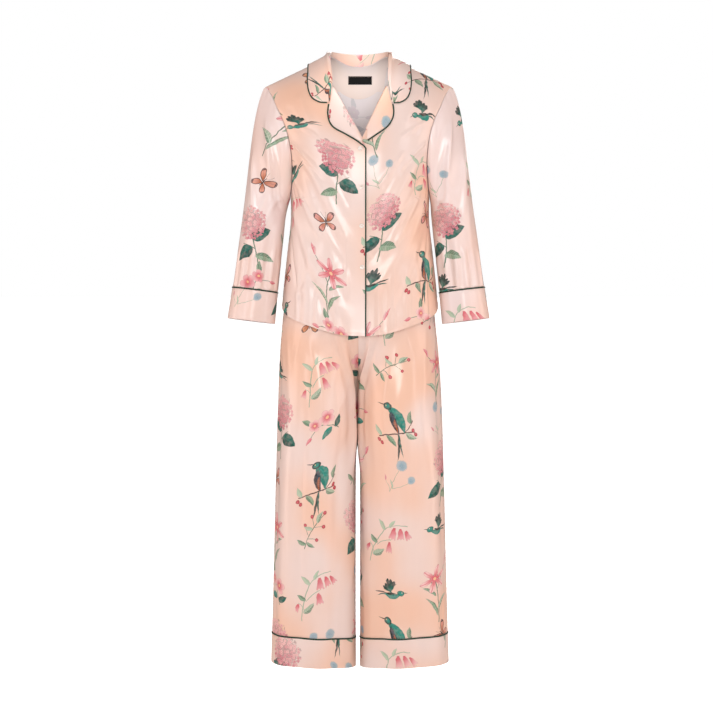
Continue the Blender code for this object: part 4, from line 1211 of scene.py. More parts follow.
@dataclass(frozen=True)
class Cloth:
    """One piece of cloth: its outer and inner points, and places on the flat cloth."""

    name: str
    outer: Grid
    inner: Grid
    flat: Grid
    wrap: bool = False

    def area(self) -> float:
        """Area of the outer side.

        Returns:
            Square metres.
        """
        grid = ringed(self.outer) if self.wrap else self.outer
        first = np.cross(grid[1:, 1:] - grid[:-1, :-1], grid[1:, :-1] - grid[:-1, 1:])
        return 0.5 * float(np.linalg.norm(first, axis=-1).sum())

    def faces(self) -> tuple[Grid, Grid, Grid]:
        """Corners of the quads of both sides and the rim, their places on the cloth, and materials.

        Returns:
            Point numbers, flat places and material numbers of the quads.
        """
        rows, columns = self.outer.shape[:2]
        wide = columns + 1 if self.wrap else columns
        number = np.arange(rows)[:, None] * columns + np.arange(wide)[None, :] % columns
        cells = [number[:-1, :-1], number[:-1, 1:], number[1:, 1:], number[1:, :-1]]
        places = [self.flat[:-1, :-1], self.flat[:-1, 1:], self.flat[1:, 1:], self.flat[1:, :-1]]
        outer = np.stack(cells, axis=-1).reshape(-1, 4)
        outer_flat = np.stack(places, axis=-2).reshape(-1, 4, 2)
        shift = rows * columns
        rims, rim_flats = [], []
        edges = [(number[0], self.flat[0], -1), (number[-1], self.flat[-1], 1)]
        if not self.wrap:
            edges += [(number[:, 0], self.flat[:, 0], 1), (number[:, -1], self.flat[:, -1], -1)]
        for line, flat, sense in edges:
            quad = np.stack([line[:-1], line[1:], line[1:] + shift, line[:-1] + shift], axis=-1)
            spots = np.stack([flat[:-1], flat[1:], flat[1:], flat[:-1]], axis=1)
            rims.append(quad[:, ::sense])
            rim_flats.append(spots[:, ::sense])
        rim = np.concatenate(rims)
        quads = np.concatenate([outer, outer[:, ::-1] + shift, rim])
        flats = np.concatenate([outer_flat, outer_flat[:, ::-1], np.concatenate(rim_flats)])
        paint = np.concatenate([np.zeros(len(outer)), np.ones(len(outer)), np.zeros(len(rim))]).astype(int)
        return quads, flats, paint

    def build(self, materials: Sequence[bpy.types.Material]) -> bpy.types.Object:
        """The closed shell with its cut map.

        Args:
            materials: of the right side and of the wrong side.

        Returns:
            The object.
        """
        points = np.concatenate([self.outer.reshape(-1, 3), self.inner.reshape(-1, 3)])
        quads, flats, paint = self.faces()
        a, b, c, d = (points[quads[:, i]] for i in range(4))
        volume = np.einsum("ij,ij->", a, np.cross(b, c)) + np.einsum("ij,ij->", a, np.cross(c, d))
        if volume < 0.0:
            quads, flats = quads[:, ::-1], flats[:, ::-1]
        made = mesh_object(self.name, points, quads)
        mesh = made.data
        cut = mesh.uv_layers.new(name=CUT_MAP)
        cut.data.foreach_set("uv", np.ascontiguousarray(flats, dtype=np.float32).ravel())
        mesh.polygons.foreach_set("material_index", paint.astype(np.int32))
        for material in materials:
            mesh.materials.append(material)
        mesh.update()
        return made


def mesh_object(name: str, points: Grid, faces: Sequence) -> bpy.types.Object:
    """Smooth object from points and faces, sharp at its rims.

    Args:
        name: the object's name.
        points: its points.
        faces: corners of its faces.

    Returns:
        The object.
    """
    mesh = bpy.data.meshes.new(name)
    faces = faces.tolist() if isinstance(faces, np.ndarray) else faces
    mesh.from_pydata(np.asarray(points, float).tolist(), [], faces)
    mesh.shade_smooth()
    mesh.set_sharp_from_angle(angle=0.9)
    made = bpy.data.objects.new(name, mesh)
    bpy.context.scene.collection.objects.link(made)
    return made


def tube(path: Grid, radius: float, closed: bool, sides: int, first: int) -> tuple[Grid, list]:
    """Points and faces of a round cord along a line.

    Args:
        path: the line.
        radius: half its thickness.
        closed: whether its ends meet.
        sides: corners of its section.
        first: number of its first point.

    Returns:
        The points and the faces.
    """
    count = len(path)
    along = unit(np.roll(path, -1, axis=0) - np.roll(path, 1, axis=0)) if closed else unit(np.gradient(path, axis=0))
    side = unit(np.cross(along[0], (0.3, -0.9, 0.2)))
    angles = np.arange(sides) * 2.0 * np.pi / sides
    rings = []
    for i in range(count):
        side = unit(side - along[i] * np.dot(side, along[i]))
        other = np.cross(along[i], side)
        rings.append(path[i] + radius * (np.cos(angles)[:, None] * side + np.sin(angles)[:, None] * other))
    faces = []
    for i in range(count if closed else count - 1):
        a, b = first + i * sides, first + ((i + 1) % count) * sides
        faces.extend((a + k, a + (k + 1) % sides, b + (k + 1) % sides, b + k) for k in range(sides))
    if not closed:
        faces.append(tuple(reversed(range(first, first + sides))))
        faces.append(tuple(range(first + (count - 1) * sides, first + count * sides)))
    return np.concatenate(rings), faces


def stitches(line: Grid, pitch: float = 0.0031, share: float = 0.72, radius: float = 0.00028) -> tuple[Grid, list]:
    """Points and faces of a row of short straight stitches.

    Args:
        line: where they run.
        pitch: from one stitch to the next.
        share: how much of the pitch the thread shows.
        radius: half the thread's thickness.

    Returns:
        The points and the faces.
    """
    run = lengths(line[None], 1)[0]
    count = max(int(run[-1] / pitch), 1)
    starts = (np.arange(count) + 0.5 * (1.0 - share)) * pitch
    points, faces, total = [], [], 0
    for start in starts:
        at = start + np.array([0.0, 0.18, 0.82, 1.0]) * pitch * share
        spots = np.stack([np.interp(at, run, line[:, axis]) for axis in range(3)], axis=-1)
        made, sides = tube(spots, radius, False, 4, total)
        made[:4] += (spots[0] - made[:4]) * 0.7
        made[-4:] += (spots[-1] - made[-4:]) * 0.7
        points.append(made)
        faces.extend(sides)
        total += len(made)
    return np.concatenate(points), faces


class Finish(Enum):
    """The finishes of the pieces, by the names of their materials."""

    SATIN = "satin_printed"
    # lighter copy of the printed satin for the sleeves and cuffs: painted highlight over the same cloth
    SATIN_PAINTED_HIGHLIGHT = "satin_printed_pale"
    SATIN_BACK = "satin_wrong_side"
    FACING = "satin_plain"
    PIPING = "piping_green"
    PEARL = "button_pearl"
    THREAD = "thread_peach"
    LABEL = "label_black"


@dataclass
class Workroom:
    """The materials, and the ways of making pieces and hanging them on the root."""

    materials: dict[Finish, bpy.types.Material] = field(default_factory=dict)

    def prepare(self) -> None:
        """Makes the print and all the materials."""
        art, weave = BotanicalPrint().tree, Weave().tree
        # pale is the same satin with a lighter, whiter ground: painted highlight for the sleeves and cuffs
        satin, pale = Satin(art, weave), Satin(art, weave, "f2e2de", "f2d6c9")
        self.materials = {
            Finish.SATIN: satin.face(Finish.SATIN.value),
            Finish.SATIN_PAINTED_HIGHLIGHT: pale.face(Finish.SATIN_PAINTED_HIGHLIGHT.value),
            Finish.SATIN_BACK: satin.back(Finish.SATIN_BACK.value),
            Finish.FACING: satin.face(Finish.FACING.value, printed=False),
            Finish.PIPING: Solid("04251a", "0e4633", 1300.0, 0.48, 0.0003).made(Finish.PIPING.value),
            Finish.PEARL: Solid("e6ddd2", "f7f2ea", 260.0, 0.16, 0.0001, coat=0.6).made(Finish.PEARL.value),
            Finish.THREAD: Solid("e2bfae", "f0d3c4", 2400.0, 0.50, 0.0001, sheen=0.2).made(Finish.THREAD.value),
            Finish.LABEL: Solid(
                "020203", "09090a", 900.0, 0.86, 0.0002, stretch=(3.0, 1.0, 0.6),
            ).made(Finish.LABEL.value),
        }
        log.info("%d finishes", len(self.materials))

    def declare(self, made: bpy.types.Object, slot: str, nodes: Sequence[str]) -> bpy.types.Object:
        """Hangs a piece on the root and hides the solids of the frame that it stands for.

        Args:
            made: the piece.
            slot: its finish's slot; not used.
            nodes: nodes of the frame it replaces.

        Returns:
            The piece.
        """
        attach(made, "root")
        if nodes:
            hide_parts(*nodes)
        log.info("%s: %d faces", made.name, len(made.data.polygons))
        return made

    def cloth(
        self, cloth: Cloth, nodes: Sequence[str], held: str, rests_on: Sequence[str],
        finishes: tuple[Finish, Finish] = (Finish.SATIN, Finish.SATIN_BACK), slot: str = "satin",
    ) -> bpy.types.Object:
        """Args:
            cloth: the piece.
            nodes: solids that it stands for.
            held: how it is held up; not used.
            rests_on: what it is sewn to or hangs from; not used.
            finishes: of its right and wrong side.
            slot: name of a material slot; not used.

        Returns:
            The object.
        """
        made = cloth.build([self.materials[finish] for finish in finishes])
        self.declare(made, slot, nodes)
        area = cloth.area()
        size = np.ptp(cloth.flat.reshape(-1, 2), axis=0)
        size = size * max(1.0, math.sqrt(area / (0.98 * size[0] * size[1])))
        list(rests_on)
        return made

    def trim(
        self, name: str, points: Grid, faces: Sequence, finish: Finish, slot: str, nodes: Sequence[str] = (),
    ) -> bpy.types.Object:
        """Builds a small part of one finish.

        Args:
            name: its name.
            points: its points.
            faces: its faces.
            finish: what it is made of.
            slot: name of a material slot; not used.
            nodes: solids that it stands for.

        Returns:
            The object.
        """
        made = mesh_object(name, points, faces)
        made.data.materials.append(self.materials[finish])
        return self.declare(made, slot, nodes)

    def piping(self, name: str, path: Grid, radius: float, closed: bool = False) -> bpy.types.Object:
        """Builds a round piping along a line, made finer.

        Args:
            name: the node it replaces.
            path: its middle line.
            radius: its radius.
            closed: whether it is a ring.

        Returns:
            The piece.
        """
        if closed:
            path = np.concatenate([path[-2:], path, path[:3]])
            path = through(path, (len(path) - 1) * 3 + 1, 0)[6:-9]
        else:
            path = through(path, (len(path) - 1) * 4 + 1, 0)
        points, faces = tube(path, radius * 1.18, closed, 12, 0)
        return self.trim(name + "_cord", points, faces, Finish.PIPING, "piping", (name,))


# ---------------------------------------------------------------- the shirt's sizes

# Shirt body: half width and depths to the front and back, by drop below the shoulder line
TORSO = measured(
    ("drop", "half", "front", "back"),
    (0, 216, 0.3, 0.3), (12, 216.5, 34, 45), (35, 215.5, 60, 70), (70, 212, 82, 87), (120, 199, 100, 104),
    (180, 182, 114, 113), (240, 168, 123, 116), (310, 160, 125, 115), (375, 159, 121, 112), (450, 167, 118, 113),
    (570, 179, 118, 118), (650, 184, 122, 124),
)
TORSO["reach"] = np.sqrt(TORSO["drop"])

# Shirttail hem: drop by angle from the centre front, and from the centre back
HEM_FRONT = table(
    ("angle", "drop"),
    (0, 0.637), (20, 0.634), (35, 0.622), (50, 0.606), (65, 0.594), (78, 0.582), (90, 0.570),
)
HEM_BACK = table(
    ("angle", "drop"),
    (0, 0.650), (20, 0.647), (35, 0.636), (50, 0.618), (65, 0.600), (78, 0.584), (90, 0.570),
)

# Inner edge of each front: neckline, roll line of the lapel, then the straight edge
EDGES = {
    -1: measured(
        ("drop", "x"),
        (0, -66), (20, -65.5), (45, -63.5), (71, -59), (205, 14.5), (700, 14.5),
    ),
    1: measured(
        ("drop", "x"),
        (0, 66), (20, 67.5), (45, 69), (62, 69), (183.5, 10), (220, -7), (260, -8), (700, -8),
    ),
}
ROWS = {
    -1: np.array((0, 4, 14, 30, 50, 71, 94, 118, 146, 175, 205, 238, 270, 297, 318)) * 0.001,
    1: np.array((0, 4, 14, 28, 45, 62, 84, 107, 131, 157, 183.5, 220, 258, 292, 318)) * 0.001,
}

# Lapels: roll line point and outer edge point of each section, and how far the roll opens
LAPELS = {
    -1: table(
        ("roll_x", "roll_z", "edge_x", "edge_z", "turn"),
        (-0.0565, -0.0757, -0.0640, -0.1078, 0.25), (-0.0513, -0.0850, -0.0664, -0.1190, 0.60),
        (-0.0445, -0.0972, -0.0672, -0.1330, 1.00), (-0.0345, -0.1150, -0.0640, -0.1502, 1.00),
        (-0.0235, -0.1350, -0.0536, -0.1642, 1.00), (-0.0125, -0.1545, -0.0290, -0.1780, 1.00),
        (-0.0010, -0.1750, -0.0050, -0.1922, 0.80), (0.0090, -0.1930, 0.0070, -0.2010, 0.50),
    ),
    1: table(
        ("roll_x", "roll_z", "edge_x", "edge_z", "turn"),
        (0.0634, -0.0735, 0.0740, -0.1078, 0.25), (0.0588, -0.0830, 0.0766, -0.1190, 0.60),
        (0.0527, -0.0955, 0.0772, -0.1320, 1.00), (0.0454, -0.1107, 0.0737, -0.1462, 1.00),
        (0.0365, -0.1290, 0.0626, -0.1626, 1.00), (0.0268, -0.1490, 0.0414, -0.1778, 1.00),
        (0.0175, -0.1680, 0.0195, -0.1925, 0.90),
    ),
}
# Section of a lapel round its roll line: millimetres outward from the roll, and off the front
LAPEL_TURN = table(
    ("across", "out"),
    (4.5, -2.6), (1.5, -2.6), (-1.6, -1.9), (-2.6, 0.5), (-1.2, 2.8), (3.0, 3.7),
)
LAPEL_LEAF = table(("share", "out"), (0.35, 3.7), (0.68, 3.4), (1.0, 3.0))

# Collar sections from the centre back to the notch: neck seam, top of the stand, outer edge
COLLAR = measured(
    ("seam_x", "seam_y", "seam_z", "roll_x", "roll_y", "roll_z", "edge_x", "edge_y", "edge_z", "lift"),
    (0, 57.5, -22.5, 0, 53, 8, 0, 98, -58, 1), (20, 56, -21.3, 21.5, 51, 9, 32, 96, -56, 1),
    (39, 50, -18, 42, 44, 10.5, 62, 88, -51, 1), (54.5, 38, -12.5, 57, 31, 12, 88, 70, -44, 1),
    (63.5, 20, -6, 65, 15, 12.5, 104, 42, -33, 1.6), (66.8, 0, -1, 67.8, -6, 11, 112, 8, -20, 1.6),
    (66.5, -26, -9, 67.2, -32, 3, 115, -30, -33, 1.6), (66, -42, -22, 66, -50, -12, 116.8, -52, -52, 1.4),
    (65, -60, -39, 64.5, -68, -32, 116, -64, -68, 1.4), (64, -74, -56, 63.2, -80, -53, 114, -72, -80, 1.4),
    (65, -83, -70, 65.2, -87, -70.5, 110.5, -79, -90, 3.2), (68, -90, -85, 70.2, -90, -85, 104.5, -85, -98, 3.8),
    (70, -96, -100, 72.4, -96, -100.3, 96, -90, -103, 3.8),
    (70.8, -98, -106.8, 73.6, -98, -106.6, 90, -94, -105.2, 3.8),
)

# Creases: a ridge (+) or trough (-) from one place (x, y) to another, with its width and depth.
# Shirt: x is the angle round the body in degrees, y the drop below the shoulders in millimetres.
CREASE = ("x", "y", "to_x", "to_y", "width", "depth")
SHIRT_FOLDS = table(
    CREASE,
    (-58, 170, -6, 440, 13, 4.2), (-50, 235, -8, 500, 11, -3.4), (-76, 320, -10, 590, 13, 4.2),
    (-64, 370, -20, 610, 10, -2.8), (60, 190, 10, 410, 13, 4.2), (62, 255, 8, 470, 10, -3.4),
    (74, 300, 7, 540, 13, 3.8), (66, 385, 22, 590, 10, -2.6), (-42, 430, -42, 640, 10, 2.6),
    (-30, 460, -27, 650, 9, -2.2), (21, 480, 19, 650, 10, 2.8), (33, 470, 31, 640, 9, -2.2),
    (46, 430, 46, 630, 10, 2.6), (-38, 50, -34, 150, 8, 2.2), (-47, 70, -42, 170, 8, -2),
    (36, 50, 33, 150, 8, 2.2), (48, 80, 42, 180, 8, -2), (150, 300, 158, 660, 14, 4),
    (166, 340, 168, 660, 12, -3.2), (180, 280, 180, 660, 13, 3.6), (194, 340, 192, 660, 12, -3.2),
    (210, 300, 202, 660, 14, 4), (130, 250, 140, 620, 13, -3), (230, 250, 220, 620, 13, -3),
)
SHIRT_CREASES = table(
    CREASE,
    (-70, 150, -35, 255, 6, 1.8), (-66, 165, -30, 285, 5, -1.4), (-52, 120, -28, 190, 5, 1.2),
    (-30, 200, -9, 300, 6, 1.6), (-26, 240, -8, 345, 5, -1.2), (-62, 290, -30, 420, 6, 1.7),
    (-40, 330, -12, 470, 5, 1.4), (-72, 410, -45, 560, 6, -1.5), (-52, 480, -48, 620, 6, 1.8),
    (-36, 500, -35, 632, 5, -1.3), (-20, 520, -17, 634, 6, 1.5), (-12, 400, -9, 560, 5, 1.1),
    (-78, 220, -60, 300, 5, 1.4), (-80, 250, -63, 345, 5, -1.2), (-56, 555, -18, 470, 6, 0.9),
    (68, 150, 40, 240, 6, 1.7), (64, 175, 34, 270, 5, -1.4), (50, 125, 30, 185, 5, 1.1),
    (36, 215, 14, 300, 6, 1.6), (30, 260, 12, 350, 5, -1.2), (58, 300, 28, 430, 6, 1.7),
    (40, 345, 15, 455, 5, 1.4), (70, 400, 48, 540, 6, -1.5), (57, 470, 54, 610, 6, 1.6),
    (38, 520, 37, 632, 5, -1.2), (14, 500, 13, 634, 6, 1.5), (26, 470, 24, 630, 5, 1.1),
    (80, 215, 62, 300, 5, 1.4), (78, 255, 64, 350, 5, -1.2), (12, 430, 40, 360, 6, 0.9),
    (105, 180, 135, 270, 6, 1.6), (110, 210, 140, 310, 5, -1.2), (255, 180, 226, 275, 6, 1.6),
    (250, 225, 222, 310, 5, -1.2), (142, 320, 150, 600, 6, 1.6), (158, 360, 161, 640, 5, -1.2),
    (173, 300, 174, 620, 6, 1.4), (187, 330, 187, 640, 5, 1.3), (203, 350, 199, 630, 6, -1.3),
    (217, 310, 211, 600, 6, 1.6), (124, 360, 132, 580, 6, 1.4), (236, 370, 228, 590, 6, 1.4),
    (115, 420, 118, 580, 5, -1.1), (245, 430, 242, 585, 5, -1.1), (150, 100, 152, 200, 6, 1),
    (210, 95, 207, 210, 6, 1),
)
# Sleeves: x is the angle round the sleeve (0 outside, 90 front), y hundredths of its length
SLEEVE_FOLDS = table(
    CREASE,
    (60, 10, 115, 62, 11, 4.2), (75, 8, 135, 50, 10, -3.4), (35, 25, 60, 80, 12, 3.6), (95, 50, 88, 102, 9, 3),
    (118, 55, 112, 102, 9, -2.6), (62, 60, 62, 102, 9, -2.4), (250, 15, 285, 80, 13, 3.6),
    (285, 10, 310, 60, 11, -3), (225, 45, 240, 102, 10, -2.6), (200, 55, 205, 102, 10, 2.4),
)
SLEEVE_CREASES = table(
    CREASE,
    (50, 12, 100, 40, 6, 2), (70, 18, 112, 46, 5, -1.5), (90, 20, 130, 44, 5, 1.6), (30, 30, 70, 60, 6, 1.8),
    (100, 40, 70, 62, 5, -1.3), (120, 42, 80, 70, 6, 1.6), (140, 35, 100, 52, 5, 1.3), (75, 74, 76, 102, 5, 1.6),
    (88, 70, 90, 102, 4, -1.3), (104, 76, 103, 102, 5, 1.6), (118, 78, 116, 102, 4, -1.1),
    (135, 70, 132, 102, 5, 1.3), (50, 76, 50, 102, 5, 1.4), (62, 72, 63, 102, 4, -1.2),
    (25, 74, 24, 102, 5, 1.3), (8, 78, 8, 102, 5, -1.1), (340, 74, 340, 102, 5, 1.3),
    (318, 70, 320, 102, 5, -1.1), (296, 76, 297, 102, 5, 1.4), (272, 70, 272, 102, 5, -1.2),
    (250, 78, 250, 102, 5, 1.3), (228, 74, 228, 102, 5, -1.1), (205, 76, 205, 102, 5, 1.3),
    (182, 72, 182, 102, 5, -1.1), (160, 78, 158, 102, 5, 1.3), (230, 20, 270, 50, 6, 1.6),
    (260, 15, 300, 45, 6, -1.3), (300, 30, 325, 65, 6, 1.6),
)
ROUND_SLEEVE = 0.050 * math.pi / 180.0
ROUND_BODY = 0.165 * math.pi / 180.0


@dataclass(frozen=True)
class ShirtBody:
    """Form of the shirt's body, and the ways of placing points on it."""

    neck_half: float = 0.066
    neck_drop: float = 0.0225
    slope: float = 0.4765
    fade: float = 0.26
    square: float = 0.045
    lean: float = 0.0035
    underarm: float = 0.325
    swing: float = 32.0
    tip: float = 3.0
    power: float = 0.65
    folds: Folds = Folds(SHIRT_FOLDS, ROUND_BODY, stray=0.0)
    creases: Folds = Folds(SHIRT_CREASES, ROUND_BODY, seed=1.3, gain=1.9)

    def hang(self, drop: Grid) -> Grid:
        """Sideways hang below the chest."""
        return self.lean * smooth((drop - 0.10) / 0.25)

    def shoulder(self, x: Grid, drop: Grid) -> Grid:
        """Fall of the shoulders out from the neck, fading down the body."""
        return self.slope * np.maximum(np.abs(x) - self.neck_half, 0.0) * (1.0 - smooth(drop / self.fade))

    def surface(self, theta: Grid, reach: Grid) -> Grid:
        """Smooth body.

        Args:
            theta: degrees from the centre front toward the wearer's left.
            reach: root of the drop below the shoulder line.

        Returns:
            The points.
        """
        turn, reach = np.radians(theta), np.maximum(reach, 0.0)
        drop = reach ** 2
        half, front, back = (track(TORSO, "reach", name, reach) for name in ("half", "front", "back"))
        depth = np.where(np.cos(turn) >= 0.0, front, back)
        square = 1.0 + self.square * np.sin(2.0 * turn) ** 2
        x = half * np.sin(turn) * square + self.hang(drop)
        return np.stack([x, -depth * np.cos(turn) * square, -drop - self.shoulder(x, drop)], axis=-1)

    def relief(self, theta: Grid, reach: Grid) -> Grid:
        """Height of the large folds.

        Args:
            theta, reach: angle and reach on the body.

        Returns:
            Metres that the cloth stands out.
        """
        theta = (theta + 540.0) % 360.0 - 180.0
        across = theta * ROUND_BODY
        around = 360.0 * ROUND_BODY
        return self.folds.height(across, reach ** 2) + self.folds.height(across + around, reach ** 2)

    def at(self, theta: Grid, reach: Grid, out: Grid = 0.0) -> Grid:
        """Points on the folded body, moved out.

        Args:
            theta: degrees from the centre front.
            reach: root of the drop.
            out: metres outward.

        Returns:
            The points.
        """
        theta, reach, out = np.broadcast_arrays(theta, reach, out)
        return lifted(self.surface, theta, reach, out + self.relief(theta, reach), (0.05, 0.0005), -1.0)

    def front_place(self, x: Grid, z: Grid) -> tuple[Grid, Grid]:
        """Angle and reach at a place seen from the front.

        Args:
            x, z: the place.

        Returns:
            The angle in degrees, and the reach.
        """
        drop = np.maximum(-z, 0.0)
        theta = np.zeros(np.shape(drop))
        for _ in range(12):
            drop = np.maximum(-z - self.shoulder(x, drop), 0.0)
            half = track(TORSO, "reach", "half", np.sqrt(drop))
            square = 1.0 + self.square * np.sin(2.0 * np.radians(theta)) ** 2
            theta = np.degrees(np.arcsin(np.clip((x - self.hang(drop)) / (half * square), -1.0, 1.0)))
        return theta, np.sqrt(drop)

    def on_front(self, x: Grid, z: Grid, out: Grid) -> Grid:
        """Points off the front at places seen from the front."""
        return self.at(*self.front_place(np.asarray(x, float), np.asarray(z, float)), out)

    def lap(self, side: int, x: Grid) -> Grid:
        """Rise of the right front where it laps over, and set-back of the left under it."""
        return 0.0012 * smooth((x + 0.045) / 0.033) if side < 0 else -0.0018 * smooth((0.055 - x) / 0.032)

    def armhole_swing(self, reach: Grid) -> Grid:
        """How far the armhole is cut in from the side.

        Args:
            reach: reach on the body.

        Returns:
            Degrees.
        """
        share = np.clip(reach / math.sqrt(self.underarm), 0.0, 1.0) ** (1.0 / self.power)
        psi = np.arccos(1.0 - 2.0 * share)
        return self.swing * np.sin(psi) ** 0.9 + self.tip * 0.5 * (1.0 + np.cos(psi))

    def armhole_reach(self, psi: Grid) -> Grid:
        """Reach of the armhole at an angle round it, from the shoulder down."""
        return math.sqrt(self.underarm) * ((1.0 - np.cos(np.radians(psi))) / 2.0) ** self.power

    def side_drops(self, rows: Grid) -> Grid:
        """Drops of the rows at the side: 14 round the armhole, then eight to the hem.

        Args:
            rows: row places.

        Returns:
            Metres below the neck.
        """
        upper = self.armhole_reach(np.clip(rows, 0.0, 14.0) * 180.0 / 14.0) ** 2
        lower = self.underarm + (HEM_FRONT["drop"][-1] - self.underarm) * (rows - 14.0) / 8.0
        return np.where(rows <= 14.0, upper, lower)

    def covered(self, points: Grid) -> Grid:
        """Where the collar and the lapels leave the cloth free.

        Args:
            points: the cloth.

        Returns:
            0 under them, 1 where it is free.
        """
        wide, down = np.abs(points[..., 0]), -points[..., 2]
        beside = smooth((wide - 0.086) / 0.015) * smooth((down - 0.112) / 0.02)
        return np.maximum.reduce([smooth((wide - 0.120) / 0.015), beside, smooth((down - 0.205) / 0.02)])


@dataclass(frozen=True)
class Shirt:
    """The shirt's body: fronts, back, facing, collar, lapels, piping, buttons and label; the sleeves and cuffs are
    built by Sleeve.
    """

    room: Workroom
    body: ShirtBody = ShirtBody()
    cloth: float = 0.0005
    seam: float = 0.0003
    hem: float = 0.0085
    piping: float = 0.0014
    parts: int = 9
    collar_thick: float = 0.0014
    lapel_thick: float = 0.0008
    label_size: Pair = (0.0550, 0.0195)
    label_at: Pair = (0.0037, -0.0507)
    hole: float = 0.00062
    hole_spread: float = 0.00125
    thread: float = 0.00024
    buttons: tuple[Pair, ...] = ((0.0037, -0.2130), (0.0060, -0.2988), (0.0069, -0.3869), (0.0082, -0.4805))

    # -------- fronts and back

    def dressed(
        self, name: str, theta: Grid, reach: Grid, lap: Grid, shift: float, sewn: Sewn, origin: Pair, seed: float,
    ) -> Cloth:
        """A panel of the body with its creases, drape and seams.

        Args:
            name: the piece's name.
            theta, reach: angle and reach of each grid point.
            lap: metres that it laps over or under its neighbour.
            shift: metres that it is held off the side seam's plane.
            sewn: whether the left, right, top and bottom edges are sewn.
            origin: where the panel lies on the printed cloth.
            seed: shifts its unevenness.

        Returns:
            The cloth.
        """
        body = self.body
        plain = body.at(theta, reach, lap)
        edges = Edges.of(plain, sewn)
        across, down = theta * ROUND_BODY, reach ** 2
        free = body.covered(plain) * smooth(edges.nearest() / 0.025)
        fine = body.creases.height(across, down) + 0.0007 * wander(across * 34.0, down * 21.0, seed)
        fine = fine * free + edges.seams(seed) * (0.35 + 0.65 * body.covered(plain))
        turned = rim(edges.bottom - self.hem, 0.0012)
        wave = np.sin(edges.left * 260.0 + 2.0 * wander(across * 50.0, down, seed)) * np.exp(-edges.bottom / 0.01)
        out = lap + fine + (0.00035 * turned + 0.0004 * wave)
        move = np.array([0.0, shift, 0.0])
        outer = body.at(theta, reach, out) + move
        inner = body.at(theta, reach, out - (self.cloth + 0.0004 * turned)) + move
        middle = int(np.argmin(np.abs(plain[0, :, 0])))
        x = edges.left - edges.left[:, middle:middle + 1] + plain[:, middle:middle + 1, 0]
        y = plain[0:1, :, 2] - edges.top
        return Cloth(name, outer, inner, np.stack([x + origin[0], y + origin[1]], axis=-1))

    def front(self, side: int) -> Cloth:
        """One front, from its inner edge to the side seam.

        Args:
            side: -1 right, 1 left.

        Returns:
            The cloth.
        """
        body, edge, centre_rows = self.body, EDGES[side], ROWS[side]
        rows = edged(finer(np.arange(23.0), self.parts), last=False)[:, None]
        last = HEM_FRONT["drop"][0]
        centres = np.concatenate([centre_rows, np.linspace(centre_rows[-1], last, 9)[1:]])
        centre = np.interp(rows, np.arange(23.0), centres)
        sides = body.side_drops(rows)
        u = edged(finer(np.linspace(0.0, 1.0, 13), 8), first=False)[None, :]
        start = abs(math.degrees(math.asin(edge["x"][-1] / TORSO["half"][-1])))
        hem = track(HEM_FRONT, "angle", "drop", start + (90.0 - start) * u)
        even = sides + (centre - sides) * (1.0 - u)
        plain_hem = sides[-1] + (centre[-1] - sides[-1]) * (1.0 - u)
        drop = even + (hem - plain_hem) * smooth((even - body.underarm) / (plain_hem - body.underarm))
        reach = np.sqrt(np.maximum(drop, 0.0))
        x_edge = np.interp(drop, edge["drop"], edge["x"])
        half = track(TORSO, "reach", "half", reach)
        inner = np.degrees(np.arcsin((x_edge - body.hang(drop)) / half))
        outer = side * (90.0 - body.armhole_swing(reach))
        theta = inner + (outer - inner) * u
        rise = body.lap(side, body.surface(theta, reach)[..., 0])
        origin = (0.031, 0.082) if side < 0 else (0.402, 0.214)
        name, sewn = "shirt_front_" + HANDS[side], (False, True, True, False)
        made = self.dressed(name, theta, reach, rise, -self.seam, sewn, origin, 2.0 + side)
        return made if side > 0 else replace(made, flat=made.flat * (-1.0, 1.0) + (2.0 * origin[0], 0.0))

    def back_columns(self) -> Grid:
        """Column places across the back, with one exactly at each end of the neckline.

        Returns:
            The places, -1 to 1.
        """
        u = np.linspace(0.0, 0.5, 400)
        x = self.body.surface(180.0 - u * (90.0 - self.body.tip), np.zeros(400))[:, 0]
        neck = np.interp(self.body.neck_half, x, u)
        middle = neck * np.sin(np.linspace(-0.5, 0.5, 11) * np.pi)
        right = np.linspace(0.275, 1.0, 6)
        return np.concatenate([-right[::-1], middle, right])

    def back_place(self, u: Grid, rows: Grid) -> tuple[Grid, Grid]:
        """Angle and reach of the back's grid.

        Args:
            u: place across, -1 to 1.
            rows: drop at the side.

        Returns:
            The angle in degrees, and the reach.
        """
        body = self.body
        x = body.surface(180.0 - u * (90.0 - body.tip), np.zeros(np.shape(u)))[..., 0]
        top = body.neck_drop * np.maximum(1.0 - (x / body.neck_half) ** 2, 0.0) ** 0.85
        hem = track(HEM_BACK, "angle", "drop", 90.0 * np.abs(u))
        foot = HEM_FRONT["drop"][-1]
        share = smooth((rows - body.underarm) / (foot - body.underarm))
        drop = rows + top * (1.0 - np.clip(rows / body.underarm, 0.0, 1.0)) + (hem - foot) * share
        reach = np.sqrt(np.maximum(drop, 0.0))
        return 180.0 - u * (90.0 - body.armhole_swing(reach)), reach

    def back(self) -> Cloth:
        """The back, from side seam to side seam.

        Returns:
            The cloth.
        """
        rows = self.body.side_drops(edged(finer(np.arange(23.0), self.parts), last=False))[:, None]
        columns = edged(finer(self.back_columns(), 7))[None, :]
        theta, reach = self.back_place(columns, rows)
        lap = np.zeros_like(theta)
        return self.dressed("shirt_back", theta, reach, lap, self.seam, (True, True, True, False), (0.215, 0.051), 5.0)

